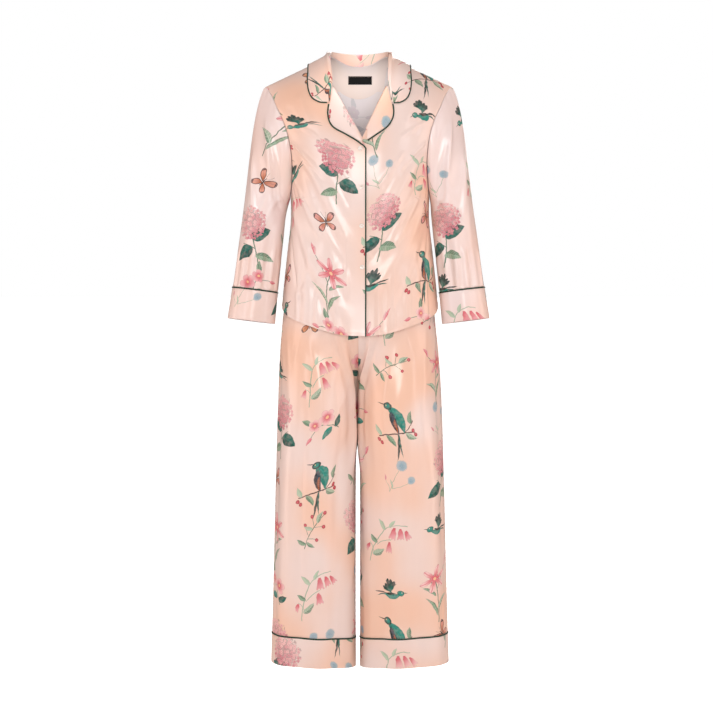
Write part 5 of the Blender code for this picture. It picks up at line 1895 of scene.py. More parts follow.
    def facing(self) -> Cloth:
        """The plain facing inside the back neck.

        Returns:
            The cloth.
        """
        columns = self.back_columns()
        u = finer(columns[np.abs(columns) <= 0.2751], 4)[None, :]
        rows = self.body.side_drops(np.arange(15.0))
        rows = np.concatenate([[0.0003], rows[(rows > 0.004) & (rows < 0.070)], [0.0775]])
        theta, reach = self.back_place(u, finer(rows, 6)[:, None])
        out = np.full(theta.shape, -0.0019) + 0.00015 * wander(theta * 0.4, reach * 40.0, 3.0)
        move = np.array([0.0, self.seam, 0.0])
        outer = self.body.at(theta, reach, out) + move
        return Cloth("shirt_back_facing", outer, self.body.at(theta, reach, out - 0.0006) + move, unrolled(outer))

    # -------- lapels and collar

    def lapel(self, side: int) -> Cloth:
        """One lapel, round its roll and out to its edge.

        Args:
            side: -1 right, 1 left.

        Returns:
            The cloth.
        """
        rows = LAPELS[side]
        roll, edge = (np.stack([rows[name + "_x"], rows[name + "_z"]], axis=-1) for name in ("roll", "edge"))
        along = unit(np.gradient(roll, axis=0))
        outward = side * np.stack([-along[:, 1], along[:, 0]], axis=-1)
        tight = rows["turn"]
        spots, outs = [], []
        for across, out in zip(LAPEL_TURN["across"], LAPEL_TURN["out"]):
            step = np.where(across > 0.0, across * tight, across)
            spots.append(roll + outward * step[:, None] * 0.001)
            outs.append(np.full(len(roll), out * 0.001))
        start = roll + outward * (3.0 * tight)[:, None] * 0.001
        for share, out in zip(LAPEL_LEAF["share"], LAPEL_LEAF["out"]):
            spots.append(start + (edge - start) * share)
            outs.append(np.full(len(roll), out * 0.001))
        places, heights = np.stack(spots, axis=1), np.stack(outs, axis=1)
        outer = self.body.on_front(places[..., 0], places[..., 1], heights + self.body.lap(side, places[..., 0]))
        outer = through(through(outer, (len(roll) - 1) * 5 + 1, 0), 8 * 5 + 1, 1)
        normal = grid_normals(outer)
        if np.mean(normal[:, -2, 1]) > 0.0:
            normal = -normal
        away = lengths(outer, 1)
        near = away[:, -1:] - away
        soft = 0.00022 * np.sin(lengths(outer, 0) * 330.0) * np.exp(-near / 0.006) - 0.00035 * np.exp(-near / 0.0012)
        outer = outer + normal * soft[..., None]
        flat = np.stack([side * away, -lengths(outer, 0)], axis=-1) + ((0.153, 0.118) if side < 0 else (0.492, 0.331))
        return Cloth("shirt_lapel_" + HANDS[side], outer, outer - normal * self.lapel_thick, flat)

    def lapel_edge(self, side: int) -> Grid:
        """Line of a lapel's piping, begun just below the notch.

        Args:
            side: -1 right, 1 left.

        Returns:
            Its points.
        """
        edge = np.stack([LAPELS[side]["edge_x"], LAPELS[side]["edge_z"]], axis=-1)
        edge = np.concatenate([(edge[0] + (edge[1] - edge[0]) * 0.45)[None, :], edge[1:]])
        steps = unit(np.diff(edge, axis=0))
        away = np.sign(edge[0, 0]) * np.stack([-steps[:, 1], steps[:, 0]], axis=-1)
        line = beside(edge, away, self.piping + self.seam + 0.0003)
        out = LAPEL_LEAF["out"][-1] * 0.001 - 0.0002 + self.body.lap(side, line[:, 0])
        return self.body.on_front(line[:, 0], line[:, 1], out)

    def panel_tree(self, panels: Sequence[Cloth]) -> BVHTree:
        """Search tree of the shirt's outer surfaces.

        Args:
            panels: the cloths.

        Returns:
            The tree.
        """
        points, quads = [], []
        for panel in panels:
            rows, columns = panel.outer.shape[:2]
            number = len(points) + np.arange(rows * columns).reshape(rows, columns)
            points.extend(panel.outer.reshape(-1, 3).tolist())
            corners = (number[:-1, :-1], number[:-1, 1:], number[1:, 1:], number[1:, :-1])
            quads.extend(np.stack(corners, axis=-1).reshape(-1, 4).tolist())
        return BVHTree.FromPolygons(points, quads)

    def settled(self, points: Grid, tree: BVHTree, height: Grid) -> Grid:
        """Points laid at a height over the shirt's outer surface.

        Args:
            points: the points.
            tree: the shirt's search tree.
            height: height of each.

        Returns:
            The laid points.
        """
        laid = np.empty_like(points)
        for index in np.ndindex(points.shape[:-1]):
            near, normal, _, _ = tree.find_nearest(Vector(points[index]))
            if normal.dot(near - Vector((0.0, 0.0, near.z - 0.06))) < 0.0:
                normal = -normal
            laid[index] = near + normal * float(height[index])
        return laid

    def collar_side(self, tree: BVHTree, side: int) -> Grid:
        """Points of one side of the collar, centre back to notch, over the stand and down the fall.

        Args:
            tree: search tree of the shirt.
            side: -1 right, 1 left.

        Returns:
            The points.
        """
        count = len(COLLAR["seam_x"])
        fine = np.linspace(0.0, count - 1.0, 20)
        rows = dict(COLLAR, at=np.arange(count, dtype=float))
        lines = []
        for line in ("seam", "roll", "edge"):
            x, y, z = (track(rows, "at", line + axis, fine) for axis in ("_x", "_y", "_z"))
            points = np.stack([side * x, y, z], axis=-1)
            low = np.clip(-points[..., 2] / 0.1, 0.0, 1.0)
            near = np.clip((0.1165 - np.abs(points[..., 0])) / 0.05, 0.0, 1.0)
            points[..., 0] += 0.0022 + 0.0028 * low * near
            lines.append(points)
        seam, roll, edge = lines
        seam = self.settled(seam, tree, track(rows, "at", "lift", fine))
        outward = unit(seam * (1.0, 1.0, 0.0) + (0.0, -0.01, 0.0))
        rise = np.minimum(0.0045, 0.5 * np.linalg.norm(roll - seam, axis=-1))
        stand = []
        for share, bow in ((0.0, 0.0), (0.34, 0.0012), (0.68, 0.0012), (0.92, 0.0003)):
            bowed = outward * bow * np.minimum(1.0, rise / 0.004)[:, None]
            stand.append(seam + (roll - seam) * share - bowed)
        leaf = np.array([0.06, 0.16, 0.34, 0.56, 0.78, 1.0])
        fall = roll[:, None, :] + (edge - roll)[:, None, :] * leaf[None, :, None]
        arch = smooth(leaf / 0.06) * (1.0 - smooth((leaf - 0.06) / 0.34))
        fall = fall + outward[:, None, :] * rise[:, None, None] * arch[None, :, None]
        ridge = np.exp(-(fall[..., 1] / 0.025) ** 2) * (np.abs(fall[..., 0]) > 0.06)
        height = 0.0054 - 0.0012 * smooth(leaf)[None, :] + 0.0014 * ridge
        laid = self.settled(fall, tree, height)
        fall = fall + (laid - fall) * smooth((leaf - 0.02) / 0.32)[None, :, None]
        return np.concatenate([np.stack(stand, axis=1), fall], axis=1)

    def collar(self, tree: BVHTree) -> Cloth:
        """The collar, notch to notch, with its long soft creases.

        Args:
            tree: the shirt's search tree.

        Returns:
            The cloth.
        """
        coarse = np.concatenate([self.collar_side(tree, -1)[::-1], self.collar_side(tree, 1)[1:]], axis=0)
        outer = through(through(coarse, (len(coarse) - 1) * 5 + 1, 0), 9 * 4 + 1, 1)
        normal = grid_normals(outer)
        if normal[len(outer) // 2, -2, 1] < 0.0:
            normal = -normal
        run, away = lengths(outer, 0), lengths(outer, 1)
        near = away[:, -1:] - away
        leaf = smooth((away - 0.035) / 0.02)
        soft = 0.00030 * np.sin(run * 300.0) * np.exp(-near / 0.006) - 0.0004 * np.exp(-near / 0.0014)
        soft = soft + 0.0006 * leaf * wander(run * 26.0, away * 30.0, 7.0) * smooth(near / 0.01)
        outer = outer + normal * soft[..., None]
        centre = len(outer) // 2
        flat = np.stack([run - run[centre:centre + 1], -away], axis=-1) + (0.30, 0.62)
        return Cloth("shirt_collar", outer, outer - normal * self.collar_thick, flat)

    def collar_edge(self, collar: Cloth) -> Grid:
        """Line of the collar's piping: round one end, the outer edge and the other end.

        Args:
            collar: the collar.

        Returns:
            Its points.
        """
        middle = 0.5 * (collar.outer + collar.inner)[::5, ::4]
        normal = unit(collar.outer - collar.inner)[::5, ::4]
        near = slice(5, -1)
        line, up = (np.concatenate([grid[0, near], grid[:, -1], grid[-1, near][::-1]]) for grid in (middle, normal))
        count = middle.shape[1] - 6
        inside = np.concatenate([
            np.repeat(middle[2:3, -3], count, axis=0), middle[:, -3], np.repeat(middle[-3:-2, -3], count, axis=0),
        ])
        away = unit(np.cross(np.diff(line, axis=0), up[:-1] + up[1:]))
        halfway = 0.5 * (line[:-1] + line[1:]) - 0.5 * (inside[:-1] + inside[1:])
        if np.sum(away * halfway) < 0.0:
            away = -away
        return beside(line, away, self.piping + 0.0001, 0.6)

    # -------- label, buttons, stitches

    def label(self) -> Cloth:
        """The plain label on the back facing.

        Returns:
            The cloth.
        """
        wide, tall = self.label_size
        x = self.label_at[0] + np.linspace(-0.5, 0.5, 25)[None, :] * wide
        drop = -self.label_at[1] + np.linspace(-0.5, 0.5, 11)[:, None] * tall
        theta = 180.0 - np.degrees(np.arcsin(x / track(TORSO, "reach", "half", np.sqrt(drop))))
        reach = np.sqrt(drop) + 0.0 * x
        move = np.array([0.0, self.seam, 0.0])
        outer, inner = self.body.at(theta, reach, -0.0039) + move, self.body.at(theta, reach, -0.0045) + move
        return Cloth("neck_label", outer, inner, unrolled(outer))

    def button_mesh(self) -> bpy.types.Mesh:
        """A turned button with a rim and four holes, facing +Z at the origin.

        Returns:
            The mesh.
        """
        profile = (
            (0.0, 0.0), (0.90, 0.0), (0.97, 0.12), (1.0, 0.35), (1.0, 0.65), (0.97, 0.88), (0.90, 1.0),
            (0.78, 0.98), (0.70, 0.86), (0.60, 0.76), (0.0, 0.74),
        )
        made, cut = bmesh.new(), bmesh.new()
        turns, radius, thick = 48, 0.00525, 0.0020
        rings = []
        for share, height in profile:
            count = turns if share else 1
            angles = np.arange(count) * 2.0 * np.pi / count
            rings.append([
                made.verts.new((radius * share * math.cos(a), radius * share * math.sin(a), thick * height))
                for a in angles
            ])
        for low, high in zip(rings[:-1], rings[1:]):
            for k in range(turns):
                n = (k + 1) % turns
                corners = [low[k % len(low)], low[n % len(low)], high[n % len(high)], high[k % len(high)]]
                made.faces.new(list(dict.fromkeys(corners)))
        for x, y in ((1, 1), (1, -1), (-1, -1), (-1, 1)):
            ends = bmesh.ops.create_cone(
                cut, cap_ends=True, segments=16, radius1=self.hole, radius2=self.hole, depth=0.006,
            )["verts"]
            bmesh.ops.translate(cut, verts=ends, vec=(x * self.hole_spread, y * self.hole_spread, 0.001))
        objects = []
        for name, source in (("button_blank", made), ("button_drill", cut)):
            bmesh.ops.recalc_face_normals(source, faces=source.faces)
            mesh = bpy.data.meshes.new(name)
            source.to_mesh(mesh)
            source.free()
            objects.append(bpy.data.objects.new(name, mesh))
            bpy.context.scene.collection.objects.link(objects[-1])
        blank, drill = objects
        drilled = blank.modifiers.new("holes", "BOOLEAN")
        drilled.operation, drilled.object, drilled.solver = "DIFFERENCE", drill, "EXACT"
        bpy.context.view_layer.update()
        mesh = bpy.data.meshes.new_from_object(blank.evaluated_get(bpy.context.evaluated_depsgraph_get()))
        for done in objects:
            bpy.data.objects.remove(done)
        mesh.shade_smooth()
        mesh.set_sharp_from_angle(angle=0.7)
        return mesh

    def sew_buttons(self) -> None:
        """Places the buttons down the lapped front, each with its crossed threads."""
        body = self.body
        shape = self.button_mesh()
        for number, (x, z) in enumerate(self.buttons, start=1):
            base = body.on_front(x, z, body.lap(-1, x) + 0.0010)
            normal = unit(body.on_front(x, z, 0.01) - body.on_front(x, z, 0.0))
            side = unit(np.cross((0.0, 0.0, 1.0), normal))
            up = np.cross(normal, side)
            spin = math.radians(9.0 * number - 20.0)
            right, high = side * math.cos(spin) + up * math.sin(spin), up * math.cos(spin) - side * math.sin(spin)
            count = len(shape.vertices)
            flat = np.empty(count * 3)
            shape.vertices.foreach_get("co", flat)
            flat = flat.reshape(-1, 3)
            placed = base + flat[:, :1] * right + flat[:, 1:2] * high + flat[:, 2:] * normal
            mesh = shape.copy()
            mesh.vertices.foreach_set("co", placed.ravel())
            mesh.materials.append(self.room.materials[Finish.PEARL])
            mesh.update()
            made = bpy.data.objects.new(f"shirt_button_{number}", mesh)
            bpy.context.scene.collection.objects.link(made)
            self.room.declare(made, "buttons", (f"button_{number}",))
            points, faces = [], []
            for start in ((1, 1), (1, -1)):
                height = np.array([-0.0006, 0.0012, 0.0019, 0.0012, -0.0006])
                share = np.array([1.0, 1.0, 0.0, -1.0, -1.0])
                spread = np.stack([share * start[0], share * start[1]], axis=-1) * self.hole_spread
                line = base + spread[:, :1] * right + spread[:, 1:] * high + height[:, None] * normal
                more, sides = tube(through(line, 17, 0), self.thread, False, 6, sum(len(p) for p in points))
                points.append(more)
                faces.extend(sides)
            self.room.trim(f"shirt_button_thread_{number}", np.concatenate(points), faces, Finish.THREAD, "satin")

    def hem_stitches(self, cloth: Cloth) -> None:
        """A row of stitches along a panel's hem.

        Args:
            cloth: the panel.
        """
        from_hem = lengths(cloth.outer, 0)
        from_hem = from_hem[-1:] - from_hem
        line = []
        for column in range(cloth.outer.shape[1]):
            run = from_hem[::-1, column]
            line.append([np.interp(self.hem - 0.001, run, cloth.outer[::-1, column, axis]) for axis in range(3)])
        normal = unit(cloth.outer - cloth.inner)[-3]
        points, faces = stitches(np.array(line)[3:-3] + 0.0001 * normal[3:-3])
        self.room.trim(cloth.name + "_hem_stitches", points, faces, Finish.THREAD, "satin")

    def build(self) -> None:
        """All pieces of the shirt but its sleeves and cuffs."""
        room = self.room
        fronts = {side: self.front(side) for side in (-1, 1)}
        back = self.back()
        for side, front in fronts.items():
            room.cloth(front, ("front_" + HANDS[side],), "hung", ("shirt_back", "shirt_front_" + HANDS[-side]))
        room.cloth(back, ("back",), "hung", ("shirt_front_right", "shirt_front_left"))
        for cloth in (*fronts.values(), back):
            self.hem_stitches(cloth)
        plain = (Finish.FACING, Finish.FACING)
        room.cloth(self.facing(), ("back_facing",), "hung", ("shirt_back",), plain)
        label = self.label()
        room.cloth(label, ("label",), "hung", ("shirt_back_facing",), (Finish.LABEL, Finish.LABEL), "label")
        rim = np.concatenate([label.inner[0], label.inner[1:, -1], label.inner[-1, -2::-1], label.inner[-2::-1, 0]])
        centre = rim.mean(axis=0)
        points, faces = stitches(centre + (rim - centre) * (0.965, 1.0, 0.90) + (0.0, -0.00005, 0.0), 0.0026)
        room.trim("neck_label_stitches", points, faces, Finish.THREAD, "label")
        for side, name in HANDS.items():
            room.cloth(self.lapel(side), ("lapel_" + name,), "folded", ("shirt_front_" + name,))
        collar = self.collar(self.panel_tree([fronts[-1], fronts[1], back]))
        room.cloth(collar, ("collar",), "folded", ("shirt_back", "shirt_front_right", "shirt_front_left"))
        room.piping("collar_piping", self.collar_edge(collar), self.piping)
        room.piping("lapel_piping_left", self.lapel_edge(1), self.piping)
        edge = EDGES[-1]["x"][-1] + self.piping + self.seam
        bend = self.body.on_front(
            [0.0098, edge - 0.0030, edge], [-0.2050, -0.2085, -0.2125], [0.0034, 0.0036, 0.0026],
        )
        z = np.linspace(-0.2180, -0.6380, 60)
        down = self.body.on_front(np.full(60, edge), z, np.full(60, 0.0010))
        room.piping("front_piping_right", np.concatenate([self.lapel_edge(-1), bend, down]), self.piping)
        self.sew_buttons()


# ---------------------------------------------------------------- sleeves

SLEEVE = measured(
    ("down", "wide", "deep"),
    (0, 49.2, 47.5), (80, 50.5, 45), (160, 52.2, 42), (235, 54.6, 41),
)


@dataclass(frozen=True)
class Sleeve:
    """One sleeve with its piped cuff, hanging just clear of the body."""

    room: Workroom
    side: int
    body: ShirtBody = ShirtBody()
    top: Triple = (0.2176, -0.004, -0.375)
    foot: Triple = (0.2460, -0.020, -0.605)
    end: float = 0.1605
    cuff_length: float = 0.070
    piping: float = 0.0014
    seam: float = 0.0003
    gap: float = 0.0006
    cloth: float = 0.0005
    length: float = 0.42
    turns: int = 120
    opening: float = 200.0
    folds: Folds = Folds(SLEEVE_FOLDS, ROUND_SLEEVE, 0.0042, stray=0.0)
    creases: Folds = Folds(SLEEVE_CREASES, ROUND_SLEEVE, 0.0042, seed=2.7, gain=2.0)

    @property
    def name(self) -> str:
        """Which side it is on, from the wearer."""
        return HANDS[self.side]

    def relief(self, psi: Grid, share: Grid, folds: Folds) -> Grid:
        """Height of one set of folds, all round the sleeve.

        Args:
            psi: angle round the sleeve.
            share: place down it, 0 to 1.
            folds: the folds.

        Returns:
            Metres that the cloth stands out.
        """
        total = np.zeros(np.broadcast(psi, share).shape)
        for shift in (0.0, 360.0):
            total = total + folds.height((psi - shift) * ROUND_SLEEVE, share * self.length)
        return total

    def ring(self, psi: Grid, down: Grid, out: Grid = 0.0) -> Grid:
        """Points round the straight part, cut square to its axis.

        Args:
            psi: degrees round the sleeve, 0 outside and 90 in front.
            down: metres down the axis.
            out: metres outward.

        Returns:
            The points.
        """
        mirror = np.array([self.side, 1.0, 1.0])
        top, foot = np.array(self.top) * mirror, np.array(self.foot) * mirror
        axis = unit(foot - top)
        outer = unit(np.array([self.side, 0.0, 0.0]) - axis * axis[0] * self.side)
        front = np.cross(outer, axis)
        front = -front if front[1] > 0.0 else front
        turn = np.radians(psi)[..., None]
        wide = (track(SLEEVE, "down", "wide", down) + out)[..., None]
        deep = (track(SLEEVE, "down", "deep", down) + out)[..., None]
        centre = top + axis * np.asarray(down)[..., None]
        return centre + outer * np.cos(turn) * wide + front * np.sin(turn) * deep

    def armhole(self, psi: Grid) -> tuple[Grid, Grid]:
        """Start of the sleeve at the armhole, and the body's direction out there.

        Args:
            psi: degrees round the sleeve.

        Returns:
            The points and the directions.
        """
        def place(angle: Grid) -> Pair:
            """Angle and reach on the body.

            Args:
                angle: degrees round the armhole.

            Returns:
                The angle in degrees, and the reach.
            """
            folded = 180.0 - np.abs((angle % 360.0) - 180.0)
            reach = self.body.armhole_reach(folded)
            swing = self.body.armhole_swing(reach)
            return np.where((angle % 360.0) <= 180.0, 90.0 - swing, 90.0 + swing) * self.side, reach

        at = self.body.at(*place(psi))
        normal = unit(self.body.at(*place(psi), 0.001) - at)
        along = self.body.at(*place(psi + 1.0)) - self.body.at(*place(psi - 1.0))
        away = self.side * unit(np.cross(normal, along))
        under = smooth((1.0 - np.cos(np.radians(psi))) / 2.0)[..., None]
        return at + self.gap * (away + normal * under), normal

    def sleeve(self) -> Cloth:
        """The sleeve from the armhole to the cuff.

        Returns:
            The cloth.
        """
        psi = self.opening + np.arange(self.turns) * 360.0 / self.turns
        turn = np.radians(psi)[:, None]
        start, seam_normal = self.armhole(psi)
        foot = self.ring(psi, np.zeros(self.turns))
        below = self.ring(psi, np.full(self.turns, 0.01))
        leave = np.concatenate([
            self.side * (0.33 + 0.10 * np.cos(turn)), -0.15 * np.sin(turn), -0.80 + 0.0 * turn,
        ], axis=-1)
        distance = np.linalg.norm(foot - start, axis=-1, keepdims=True)
        first = start + unit(leave) * distance * 0.20
        second = foot - unit(below - foot) * distance * 0.40
        shares = edged(finer(np.linspace(0.0, 1.0, 13), 10))
        rings = []
        for share in shares:
            t = share * 12.0 / 7.0
            if t <= 1.0:
                rings.append(
                    start * (1 - t) ** 3 + first * 3 * t * (1 - t) ** 2
                    + second * 3 * t ** 2 * (1 - t) + foot * t ** 3
                )
            else:
                down = (share * 12.0 - 7.0) / 5.0 * self.end
                rings.append(self.ring(psi, np.full(self.turns, down)))
        grid = np.array(rings)
        normal = grid_normals(grid, wrap=True)
        centre = grid.mean(axis=1, keepdims=True)
        low = shares > 0.6
        if np.sum(normal[low] * (grid - centre)[low]) < 0.0:
            normal = -normal
        under = smooth((1.0 - np.cos(turn)) / 2.0)
        early = smooth(1.0 - shares / 0.06)[:, None, None]
        normal = unit(normal + early * (seam_normal - normal * 0.4 * (1.0 - under)))
        share = shares[:, None] + 0.0 * psi[None, :]
        angle = psi[None, :] + 0.0 * share
        run = lengths(grid, 0)
        rest = run[-1:] - run
        relief = self.relief(angle, share, self.folds) * smooth(share * 5.0)
        free = smooth(run / 0.03) * smooth(rest / 0.004)
        fine = self.relief(angle, share, self.creases) + 0.0008 * wander(
            2.0 * np.cos(turn.T) + share * 5.0, 2.0 * np.sin(turn.T) + share * 3.0, 3.0 + self.side,
        )
        cap = 0.0009 * np.sin(np.radians(angle) * 22.0) * np.exp(-run / 0.016) * smooth(run / 0.003)
        gather = 0.0006 * np.sin(np.radians(angle) * 26.0 + 1.3 * np.sin(np.radians(angle) * 3.0))
        dips = -0.0009 * rim(run) - 0.0007 * rim(rest)
        out = relief + fine * free + cap * (0.4 + 0.6 * (1.0 - under.T)) + gather * np.exp(-rest / 0.022) + dips
        outer = grid + normal * out[..., None]
        flat = self.flat_places(grid, (0.118, 0.431) if self.side < 0 else (0.563, 0.172))
        return Cloth("sleeve_" + self.name + "_cloth", outer, outer - normal * self.cloth, flat, True)

    def flat_places(self, grid: Grid, origin: Pair) -> Grid:
        """Places on the printed cloth of a closed grid, unrolled from its inner seam.

        Args:
            grid: the points.
            origin: where it lies on the printed cloth.

        Returns:
            The flat places.
        """
        closed = ringed(grid)
        psi = self.opening - 360.0 + np.arange(closed.shape[1]) * 360.0 / self.turns
        x = -self.side * np.broadcast_to(psi * ROUND_SLEEVE * 1.03, closed.shape[:2])
        return np.stack([x + origin[0], closed[..., 2] * 1.03 + origin[1]], axis=-1)

    def cuff(self) -> Cloth:
        """The cuff, with its edges turned in.

        Returns:
            The cloth.
        """
        psi = self.opening + np.arange(self.turns)[None, :] * 360.0 / self.turns
        start = self.end + 2.0 * (self.piping + self.seam)
        down = start + edged(np.linspace(0.0, self.cuff_length, 17))[:, None] + 0.0 * psi
        psi = psi + 0.0 * down
        near = np.minimum(down - start, start + self.cuff_length - down)
        relief = self.relief(psi, np.ones_like(down), self.folds) * 0.6 + 0.0004
        turn = np.radians(psi)
        relief = relief + 0.0006 * wander(2.0 * np.cos(turn) + down * 14.0, 2.0 * np.sin(turn), 8.0)
        relief = relief + 0.0003 * np.sin(turn * 26.0) * np.exp(-(down - start) / 0.009)
        out = relief - 0.0006 * rim(near)
        outer, inner = self.ring(psi, down, out), self.ring(psi, down, out - 0.0012)
        flat = self.flat_places(outer, (0.271, 0.306) if self.side < 0 else (0.660, 0.522))
        return Cloth("cuff_" + self.name + "_cloth", outer, inner, flat, True)

    def build(self) -> None:
        """The sleeve, its piping and its cuff."""
        room = self.room
        front = "shirt_front_" + self.name
        # sleeve and cuff take the lighter copy of the satin, a painted highlight over the same cloth
        pale = (Finish.SATIN_PAINTED_HIGHLIGHT, Finish.SATIN_BACK)
        made = room.cloth(self.sleeve(), ("sleeve_" + self.name,), "hung", (front, "shirt_back"), pale)
        room.cloth(self.cuff(), ("cuff_" + self.name,), "hung", (made.name,), pale)
        psi = np.arange(56) * 360.0 / 56
        relief = self.relief(psi, np.ones(56), self.folds) * 0.8
        ring = self.ring(psi, np.full(56, self.end + self.piping + self.seam), relief + 0.0002)
        room.piping("cuff_piping_" + self.name, ring, self.piping, closed=True)


# ---------------------------------------------------------------- trousers

HIPS = measured(
    ("drop", "half", "front", "back"),
    (480, 138, 100, 100), (530, 158, 106, 106), (570, 169.5, 108.5, 110), (642, 177.5, 112.5, 117),
    (720, 183, 114, 120), (800, 188, 112, 118),
)
LEG = measured(
    ("drop", "half", "front", "back", "gap"),
    (600, 90.8, 110, 114, 0.2), (777, 94.3, 110, 115, 0.2), (872, 96, 106, 110, 0.2), (905, 95, 104.5, 108, 3),
    (1000, 95.5, 99, 102, 4.8), (1150, 97.5, 92, 95, 4.8), (1300, 99.5, 87, 90, 4.8), (1410, 101, 85, 88, 4.8),
)
# Trousers: x is hundredths round a panel from the inner to the side seam, y the drop in millimetres
TROUSER_FOLDS = table(
    CREASE,
    (16, 720, 17, 1450, 16, 5), (31, 800, 32, 1450, 15, -4.2), (47, 660, 46, 1450, 18, 5.5),
    (63, 780, 61, 1450, 15, -4.2), (78, 700, 77, 1450, 16, 4.5),
)
TROUSER_CREASES = table(
    CREASE,
    (8, 660, 11, 1000, 7, 1.4), (22, 700, 26, 1100, 7, -1.6), (38, 620, 40, 950, 7, 1.6),
    (55, 700, 54, 1200, 8, -1.6), (70, 600, 69, 900, 7, 1.5), (86, 660, 85, 1150, 7, -1.3),
    (10, 1050, 8, 1400, 7, 1.6), (24, 1150, 24, 1410, 6, 1.6), (40, 1050, 38, 1400, 7, -1.6),
    (54, 1220, 54, 1410, 6, 1.6), (70, 1000, 71, 1400, 7, -1.5), (86, 1180, 87, 1410, 6, 1.5),
    (30, 560, 60, 700, 7, 1.1), (3, 690, 28, 820, 6, 1.6), (3, 750, 24, 920, 6, -1.4),
    (4, 800, 20, 1020, 6, 1.3), (96, 600, 70, 760, 6, 1.1), (96, 800, 76, 1020, 6, 1.1),
    (4, 1020, 16, 1240, 6, 1.2), (96, 1100, 80, 1320, 6, -1.1), (5, 580, 6, 930, 6, -7),
    (10.5, 590, 11.5, 960, 6, 4.2), (16, 600, 16.5, 900, 6, -3.2),
)


